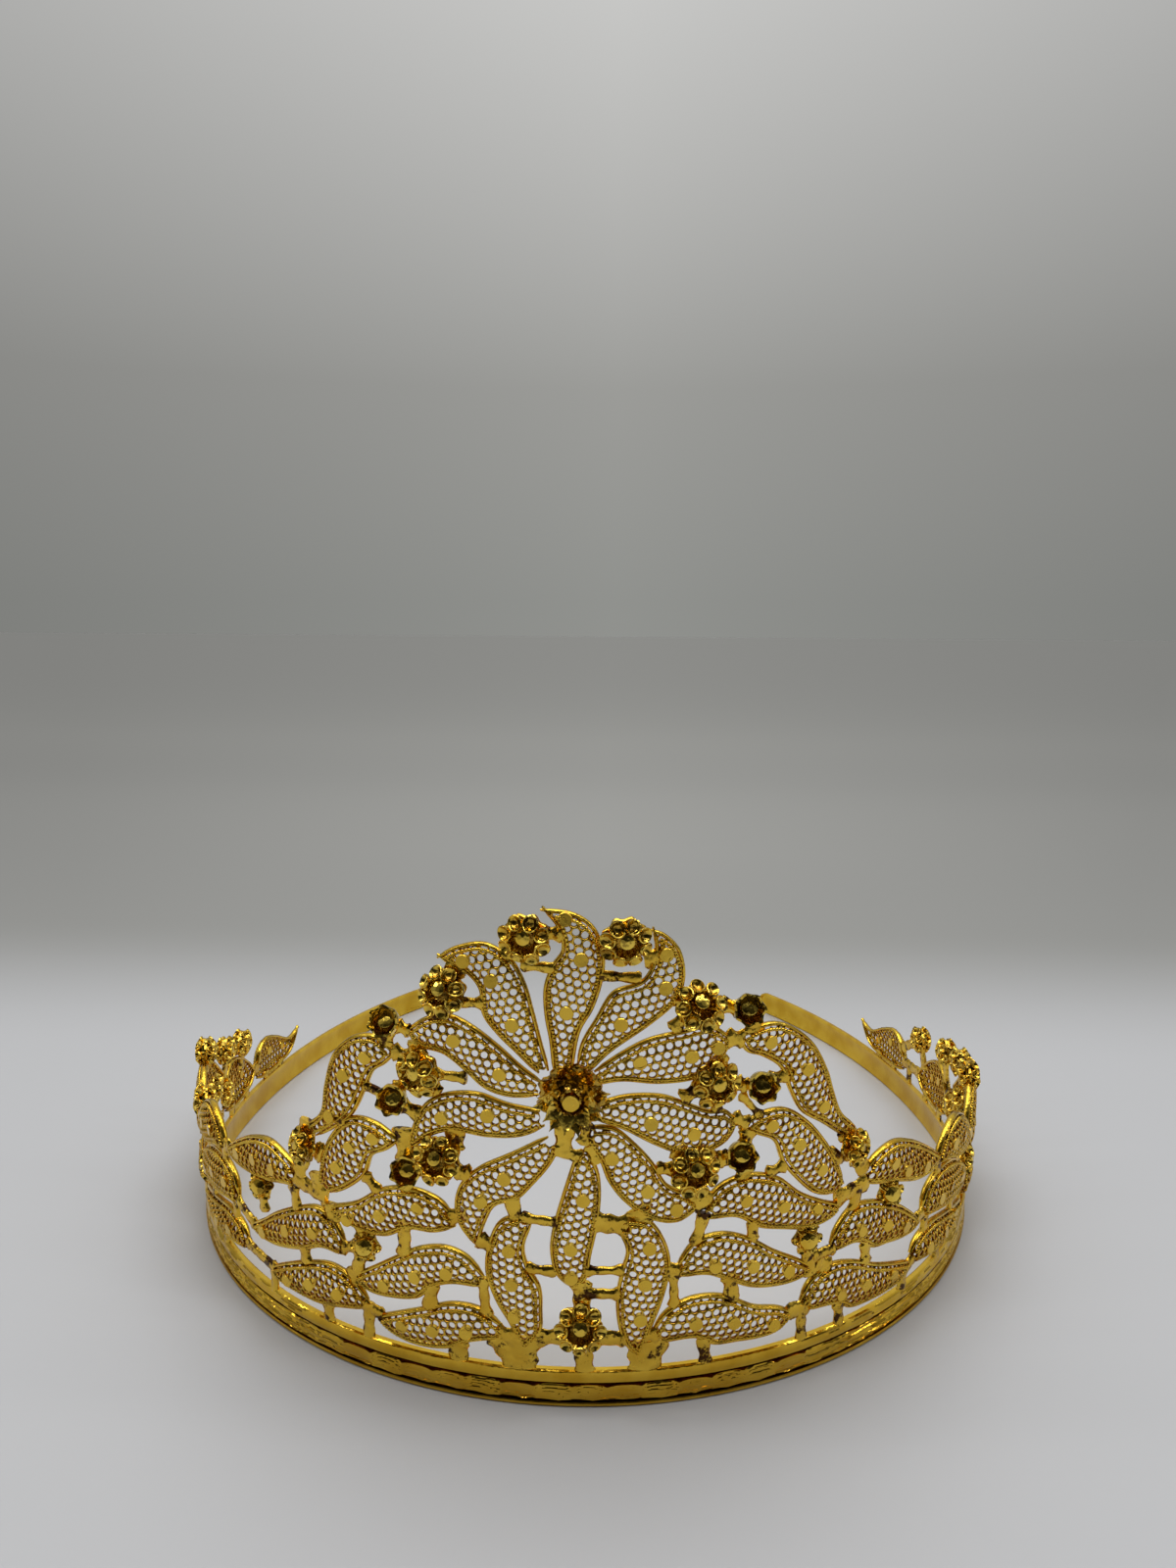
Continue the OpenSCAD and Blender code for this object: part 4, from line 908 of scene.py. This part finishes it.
def flower(metal, place, count, circle, size, height, pin, start):
    """A base plate with open gaps, a ring of scoops, a deep ribbed cup and a flat-topped pin."""
    sides = count * 6
    plate = [(0.2, 0.0), (circle + size * 0.5, 0.0), (circle + size * 0.55, 0.25)]
    plate += [(circle + size * 0.4, 0.45), (0.2, 0.5)]
    verts, faces = revolve(plate, sides)
    lobes = np.cos(np.arctan2(verts[:, 1], verts[:, 0]) * count + math.pi - start * count)
    verts[:, :2] *= (1 - 0.16 * (1 + lobes) / 2)[:, None]
    # A little painted shade over the base plate
    metal.add(placed(place, verts), faces, 0.1)
    inner = circle - size * 0.55
    cup = [(inner * 0.8, 0.3), (inner, 0.6), (inner + 0.15, height - 0.5), (inner + 0.05, height - 0.2)]
    cup += [(inner - 0.2, height - 0.4), (inner - 0.45, height * 0.5)]
    cup += [(inner * 0.5, height * 0.4), (0.05, height * 0.36)]
    verts, faces = revolve(cup, sides)
    ribs = 1 + 0.06 * np.cos(np.arctan2(verts[:, 1], verts[:, 0]) * count * 2)
    verts[:, :2] *= ribs[:, None]
    # Painted shade, deepening towards the bottom of the cup
    metal.add(placed(place, verts), faces, np.repeat([0.2, 0.2, 0.1, 0, 0.3, 0.5, 0.6, 0.6], sides))
    stem = [(0.3, 0.4), (0.32, height - 0.75), (pin - 0.12, height - 0.6), (pin, height - 0.45)]
    stem += [(pin, height - 0.32), (pin - 0.07, height - 0.26)]
    verts, faces = revolve(stem, 20)
    # The pin's flat top leans up a little and catches the light
    lean = Matrix.Rotation(math.radians(-12), 4, "X")
    # Painted shade at the foot of the pin's stem
    metal.add(placed(place @ lean, verts), faces, np.repeat([1, 0.8, 0.2, 0, 0, 0], 20))
    for k in range(count):
        angle = start + k * 2 * math.pi / count + SEED.uniform(-0.05, 0.05)
        grown = size * SEED.uniform(0.94, 1.06)
        scoop(metal, place, angle, circle, grown, height - 0.75, 34 + SEED.uniform(-8, 8))


def ring_cup(metal, place, radius, height):
    """An open collet with a scalloped lip and a flat disc low inside it."""
    profile = [(radius * 0.55, 0.0), (radius * 0.85, 0.3), (radius, height - 0.4), (radius * 0.98, height)]
    profile += [(radius * 0.84, height - 0.02), (radius * 0.68, height * 0.62)]
    profile += [(radius * 0.5, 0.8), (0.05, 0.75)]
    verts, faces = revolve(profile, 36)
    angle = np.arctan2(verts[:, 1], verts[:, 0])
    lip = np.clip(verts[:, 2] / height, 0, 1)
    verts[:, :2] *= (1 + 0.07 * lip * np.cos(angle * 7))[:, None]
    verts[:, 2] += 0.16 * lip * np.cos(angle * 7)
    # Painted shade deepening into the collet
    metal.add(placed(place, verts), faces, np.repeat([0, 0, 0, 0, 0.1, 0.3, 0.4, 0.4], 36))
    centre = place @ Matrix.Translation((0.1, -0.1, 0)) @ Matrix.Rotation(math.radians(-20), 4, "X")
    verts, faces = revolve([(0.5, 0.6), (1.1, 1.2), (1.14, 1.34), (1.06, 1.42)], 20)
    metal.add(placed(centre, verts), faces)


# Each kind: how many scoops, the radius of their ring, a scoop's size, the height and the pin's radius
FLOWER_KINDS = {
    "large": (8, 2.45, 0.98, 2.7, 0.95),
    "small": (7, 1.9, 0.84, 2.5, 0.8),
    "flank": (7, 1.9, 0.84, 1.8, 0.8),
    "stud": (6, 1.65, 0.66, 1.4, 1.3),
}
RING_CUP_RADIUS, RING_CUP_HEIGHT = 2.05, 2.0

# Each node: its kind, and each flower's s, z, lean upwards and lean sideways in degrees
FLOWERS = {
    "large_flowers": ("large", [
        (-5.6, 64.4, -8, -6), (6.3, 64.2, -12, 4), (-16, 56.3, 14, -10), (15.6, 54.7, 26, 4),
        (-19.4, 45.6, -10, -14), (17.8, 45, -8, 8), (-17.1, 33.6, 12, -6), (15.4, 33, 10, 4),
    ]),
    "shoulder_flowers": ("small", [(-38.8, 30.5, 10, -16), (39.6, 31.8, 4, 14)]),
    "ring_cups": ("cup", [
        (-24.4, 51, 26, 6), (22.4, 54, 14, -14), (-23.7, 41, 10, 12), (24.6, 43.5, 8, -12),
        (-21.9, 31.4, 10, 12), (22, 34.3, 10, -12),
    ]),
    "disc_studs": ("stud", [
        (-28.8, 18.6, 10, 14), (32.6, 20, 4, -14), (-50, 20.6, 8, 20), (48.4, 22, 8, -20),
    ]),
    "base_flower": ("large", [(1.2, 11.6, 12, 0)]),
    "side_flowers_left": ("flank", [
        (-75, 12.6, 0, 0), (-82, 21, 10, 0), (-92.6, 25.2, 0, 0), (-107, 19.2, 0, 0),
        (-115.4, 17.2, 0, 0),
    ]),
    "side_flowers_right": ("flank", [
        (80, 14, 0, 0), (90, 24.4, 10, 0), (101.6, 21.6, 0, 0), (111, 19.6, 0, 0),
        (124.4, 16.4, 0, 0),
    ]),
}
# The flank flowers on the inside of the wall, for the right-hand side
INNER_FLANK = ((91, 15.4), (97.6, 16), (104.6, 11.6))
ROSETTE = (-0.1, 43.4, 0, 0)
# Turns a place on the wall to face inwards
INWARDS = Matrix.Rotation(math.pi, 4, "Y")


def make_flowers(node, kind, places):
    """All the flowers of one node; those of a flank are beaded on both faces of the wall."""
    metal = Metal()
    for s, z, tilt_z, tilt_s in places:
        place = local_frame(s, z, tilt_z, tilt_s)
        start = SEED.uniform(0, 1)
        if kind == "cup":
            ring_cup(metal, place, RING_CUP_RADIUS, RING_CUP_HEIGHT)
        else:
            flower(metal, place, *FLOWER_KINDS[kind], start)
        if kind == "flank":
            flower(metal, place @ INWARDS, *FLOWER_KINDS[kind], start)
    if kind == "flank":
        side = math.copysign(1, places[0][0])
        for s, z in INNER_FLANK:
            flower(metal, local_frame(side * s, z) @ INWARDS, *FLOWER_KINDS[kind], SEED.uniform(0, 1))
    metal.piece(node + "_metal", FLOWER_GOLD, (node,), sharp=50)


for node, (kind, places) in FLOWERS.items():
    make_flowers(node, kind, places)


def pointed_petal(metal, place, angle, length, width, rise, lift):
    """A petal folded along its middle, with a raised edge and an upturned point."""
    stations = np.linspace(0, 1, 9)
    rows = []
    for t in stations:
        half = width * math.sin(math.pi * min(t * 0.9 + 0.12, 1)) ** 0.8 * (1 - t**3)
        out = 1.0 + t * (length - 1.0)
        up = rise + lift * t**1.6
        fold = 0.42 * half
        for across, over in ((-1, 0.0), (-0.6, -0.45), (0, -1.0), (0.6, -0.45), (1, 0.0)):
            rows.append((out, across * half, up + over * fold))
        for across, over in ((0.9, -0.1), (0, -1.0), (-0.9, -0.1)):
            rows.append((out, across * half, up + over * fold - 0.28))
    turn = place @ Matrix.Rotation(angle, 4, "Z")
    # Painted shade along the fold's valley and under the petal, fading towards the point
    deep = np.tile([0, 0.1, 0.5, 0.1, 0, 0.2, 0.2, 0.2], 9) * np.repeat(1 - stations * 0.6, 8)
    metal.add(placed(turn, np.array(rows)), grid_faces(9, 8), deep)


def make_rosette():
    """The star: two rings of eight petals on a backing, round a cup with its own pin."""
    place = local_frame(*ROSETTE)
    metal = Metal()
    for k in range(8):
        angle = k * math.pi / 4 + 0.2
        pointed_petal(metal, place, angle, 5.0, 1.4, 0.75, 0.7)
        pointed_petal(metal, place, angle + math.pi / 8, 4.2, 1.2, 1.2, 1.3)
    backing = [(3.9, -0.3), (4.25, 0.0), (4.1, 0.45), (3.5, 0.6), (0.1, 0.6)]
    verts, faces = revolve(backing, 72)
    angle = np.arctan2(verts[:, 1], verts[:, 0])
    verts[:, :2] *= (1 + 0.06 * np.cos(angle * 9 + 0.6) + 0.03 * np.sin(angle * 23))[:, None]
    # Painted shade over the whole backing
    metal.add(placed(place, verts), faces, 0.5)
    cup = [(2.6, 0.4), (2.5, 0.8), (1.9, 1.5), (1.7, 1.75), (1.5, 1.5), (1.25, 0.8), (0.05, 0.7)]
    verts, faces = revolve(cup, 48)
    verts[:, :2] *= (1 + 0.05 * np.cos(np.arctan2(verts[:, 1], verts[:, 0]) * 16))[:, None]
    # Painted shade deepening into the cup
    metal.add(placed(place, verts), faces, np.repeat([0.2, 0.4, 0.5, 0.6, 0.9, 1, 1], 48))
    metal.piece("rosette_star_metal", FLOWER_GOLD, ("rosette_star",), sharp=45)
    pin = Metal()
    stem = [(0.4, 0.7), (0.42, 1.7), (0.95, 1.9), (1.08, 2.05), (1.08, 2.2), (1.0, 2.27)]
    verts, faces = revolve(stem, 24)
    pin.add(placed(place, verts), faces)
    pin.piece("rosette_pin_metal", DISC_GOLD, ("rosette_pin",), sharp=30)


make_rosette()


# ---------------------------------------------------------------- soldered ties
def tie(metal, s1, z1, s2, z2, width):
    """A web between two pieces that spreads where it meets them."""
    a, b = np.array([s1, z1]), np.array([s2, z2])
    length = np.linalg.norm(b - a)
    way = (b - a) / length
    over = 0.45
    t = np.linspace(-over, length + over, 15)
    path = a + way * t[:, None]
    near = np.minimum(t, length - t)
    half = width / 2 + np.where(near > 0, 0.45 * np.exp(-near / 0.5), 0.45 + 0.9 * near)
    half *= 1 + 0.10 * np.sin(t * 3.1 + s1)
    metal_half = 0.40 + 0.10 * np.exp(-np.abs(near) / 0.8)
    tube(metal, path, np.full(len(t), 0.05), half, metal_half, 14)


# Each tie: s and z of one end, s and z of the other, width
TIES = {
    "ties_centre": [
        (-9.8, 8.8, -7.6, 5.6, 2.6), (11.8, 8.6, 10.6, 5.6, 2), (-6.4, 9, -6.8, 4.6, 4.4),
        (1.5, 9, 1.8, 4.6, 2.4), (9.4, 8.6, 9.6, 4.6, 4), (-1, 10, -4.2, 9.6, 2.2),
        (3.8, 9.8, 6.6, 9.6, 2), (1.2, 17.4, 1.4, 13.6, 2.2), (-5.6, 19.4, -2.4, 19.2, 1.3),
        (2.2, 19.4, 6.4, 19.4, 1.1), (2.2, 16.2, 6, 16, 1.4), (-6.2, 26.5, -1.8, 26.1, 1.3),
        (3.3, 26.2, 7, 25.6, 2.6), (-7.8, 28.8, -7.2, 26.4, 1.8), (-11.9, 22.8, -10.6, 22.2, 1.8),
        (8.6, 27.6, 9.2, 26.2, 3), (2.4, 36.4, 3, 34.8, 1.3), (-0.9, 39, -1.2, 35.8, 2.2),
        (1.8, 39.4, 1.6, 37.4, 1.4), (-1.8, 36.2, 0.8, 35.2, 1.6), (-6, 60.5, -2.4, 60.1, 1.3),
        (3.4, 59.3, 8, 58.9, 1.3), (9.2, 61.4, 10.6, 61.6, 2), (-3.4, 64.6, -1.6, 64.6, 1.6),
        (3.2, 63.4, 4.4, 63.6, 1.4), (-8.6, 61.4, -7.4, 62, 1.6), (-14.6, 55, -11.4, 55.2, 1.3),
        (-15.6, 59.8, -13.8, 59, 1.4), (12.8, 52.2, 14.2, 54, 1.6), (17.6, 52, 17.2, 53.4, 2),
        (12.8, 56.4, 13.8, 56.2, 2), (-17.2, 52.6, -16.8, 54.4, 2.2),
        (-20.4, 48.8, -20.2, 47.4, 2.2), (-17.6, 45, -14, 45, 1.3), (14.2, 42.8, 16, 43.8, 1.8),
        (18.6, 40.8, 18.6, 42.6, 1), (19, 47.8, 18.8, 46.8, 1.6), (-15.4, 35.6, -15.2, 37.8, 2.4),
        (-18, 42.6, -18.4, 43.4, 2), (-14.8, 32, -13.6, 31.8, 2), (12.8, 33.2, 11.2, 33.4, 1.4),
        (13.6, 35.6, 14.2, 34.8, 2), (17.4, 35.4, 17, 34.8, 3), (15.8, 28.8, 15.6, 31, 1.8),
        (16.2, 28, 18, 28.4, 2.2), (-14.6, 26, -16.2, 25.4, 1.8),
    ],
    "ties_left": [
        (-15.2, 7.2, -15.2, 4.6, 2.6), (-28.7, 9.6, -28.8, 4.6, 1.8), (-36, 7.4, -35.8, 4.6, 1.8),
        (-47.6, 7.6, -47.8, 4.6, 1.5), (-9.6, 9.8, -7.4, 9.2, 2.2), (-26.8, 9, -29.2, 9.6, 1.5),
        (-11.7, 17, -11.3, 12.4, 1.4), (-19, 15.2, -19.1, 12, 2), (-22.8, 23, -22.8, 19, 1.9),
        (-29.6, 19.6, -29.8, 21, 1.6), (-30.6, 17.8, -32.8, 17.2, 1.6), (-29.8, 17, -30.6, 13.8, 2),
        (-31.4, 14, -31.2, 12.2, 1.6), (-35, 22.6, -34.8, 20.8, 2.6), (-41.4, 24.6, -36, 23.8, 2.4),
        (-37.2, 26.4, -37.2, 23.8, 2.4), (-42.2, 23, -41.6, 20.2, 1.6),
        (-38.8, 33.8, -39, 32.4, 2.6), (-36.4, 30, -37, 30.2, 2.4), (-32.6, 36.2, -32, 35.2, 1.6),
        (-41, 26, -40, 28.2, 2.4), (-23.4, 47.2, -21.6, 46.8, 1.8), (-24.8, 50, -25, 48.4, 2.2),
        (-21.6, 50.4, -22.8, 50.8, 1.4), (-23, 42.4, -21.8, 43.6, 1.6),
        (-22.4, 40, -20.4, 39.2, 1.8), (-28.2, 41.7, -25.2, 41, 1.2),
        (-22.6, 36.4, -22.2, 32.6, 2.6), (-19.4, 32.8, -20.2, 32, 1.8), (-22, 29.8, -22.2, 28, 1.6),
        (-28.4, 28.6, -26.8, 27.2, 1.4), (-40.4, 14.2, -40, 12.4, 1.8), (-49.6, 17, -50, 18.6, 1.8),
        (-50.6, 21.2, -50.4, 22, 2), (-47.6, 8.4, -55, 9, 1.6), (-53, 13.2, -57.8, 14.6, 1.6),
        (-92.2, 22, -92.4, 23.2, 2), (-105.6, 13.4, -106.6, 17.4, 2.4),
        (-103.6, 14, -105.4, 10.8, 2.4), (-109, 6.9, -109, 4.6, 2), (-116.6, 6.9, -116.6, 4.6, 2),
        (-114.8, 12.6, -115.2, 15, 2.4), (-120.6, 9, -122, 9, 2), (-126, 6.2, -126, 4.6, 1.8),
        (-132.4, 6.2, -132.4, 4.6, 1.8),
    ],
    "ties_right": [
        (17.6, 8.2, 18, 4.6, 1.6), (32.3, 9.8, 32.4, 4.6, 1.6), (38.9, 8, 39.1, 4.6, 1.6),
        (53, 7, 53, 4.6, 2), (9.8, 9.8, 11, 9.8, 1.8), (30.4, 9.6, 33, 9.8, 2.2),
        (13.3, 18.2, 13.5, 14.2, 1.2), (12.4, 19, 14, 18.8, 1.8), (21.2, 16.6, 21.4, 13.8, 2),
        (17.2, 26.2, 16.3, 22.6, 1.6), (24.2, 24, 24.2, 22, 1.4), (33, 21.6, 32.8, 21, 2.6),
        (32.8, 18.8, 33.6, 14.8, 2.4), (34.2, 16.9, 37.2, 17, 1.5), (34.6, 15.4, 36.4, 14.4, 2.6),
        (37.8, 24.4, 43, 25.2, 2.4), (41.4, 25, 41, 22.2, 2), (39, 33.8, 39, 33, 2.6),
        (37, 30.6, 37.4, 31, 3), (42.6, 27.4, 41, 29.4, 2.2), (20, 50.2, 21.6, 50, 2),
        (23.4, 52, 23.4, 51, 2.2), (18.8, 54.8, 21, 54.2, 1.8), (21.4, 44, 22.4, 43.6, 1.6),
        (26, 43.8, 28.8, 44.2, 1.8), (21.2, 39.2, 22.6, 38.4, 1.6), (22.2, 42, 24.6, 39.2, 0.9),
        (19.2, 33.8, 20.2, 34, 1.8), (22.6, 32.2, 22.6, 30.8, 2), (22.6, 35.6, 23, 37, 1.8),
        (26.4, 30.8, 28.4, 31.4, 1.4), (43.8, 15.6, 43.8, 13, 1.8), (53, 7, 55.6, 8.4, 1.6),
        (56.4, 14.6, 58, 15, 1.6), (90, 22.4, 90, 23, 2), (110.4, 14.2, 110.8, 17.8, 2.4),
        (99.8, 17.6, 101, 20, 2.2), (103.4, 14.4, 109.4, 11.4, 2.4), (113, 6.9, 113, 4.6, 2),
        (120.6, 6.9, 120.6, 4.6, 2), (122, 11.4, 123.8, 15, 2.4), (124.6, 9, 131, 8.6, 2.2),
        (129, 8.6, 129, 4.6, 1.8), (136, 6.2, 136, 4.6, 1.8), (142.4, 6.2, 142.4, 4.6, 1.8),
        (126.6, 15, 132, 11.6, 2),
    ],
}
# These are alike on both flanks, and are drawn for the right-hand one
FLANK_TIES = (
    (60.6, 22.2, 62.4, 21.6, 1.8), (62.6, 21, 62.8, 19.4, 1.8), (59, 14, 58.8, 11.4, 1.8),
    (64, 6.8, 64, 4.6, 2), (74, 7, 74, 4.6, 2), (70, 12, 70, 10, 1.8), (72, 17.6, 71, 16, 1.8),
    (83, 18.6, 82.6, 16.4, 3), (78.6, 13.2, 80.6, 9.6, 2.4), (88, 6.8, 88, 4.6, 2),
    (98, 6.8, 98, 4.6, 2), (91, 12.8, 91, 10.8, 1.8),
)
for side, node in ((-1, "ties_left"), (1, "ties_right")):
    TIES[node] += [(side * s1, z1, side * s2, z2, width) for s1, z1, s2, z2, width in FLANK_TIES]

for node, bars in TIES.items():
    metal = Metal()
    for bar in bars:
        tie(metal, *bar)
    metal.piece(node + "_metal", SOLDER_GOLD, (node,), sharp=50)
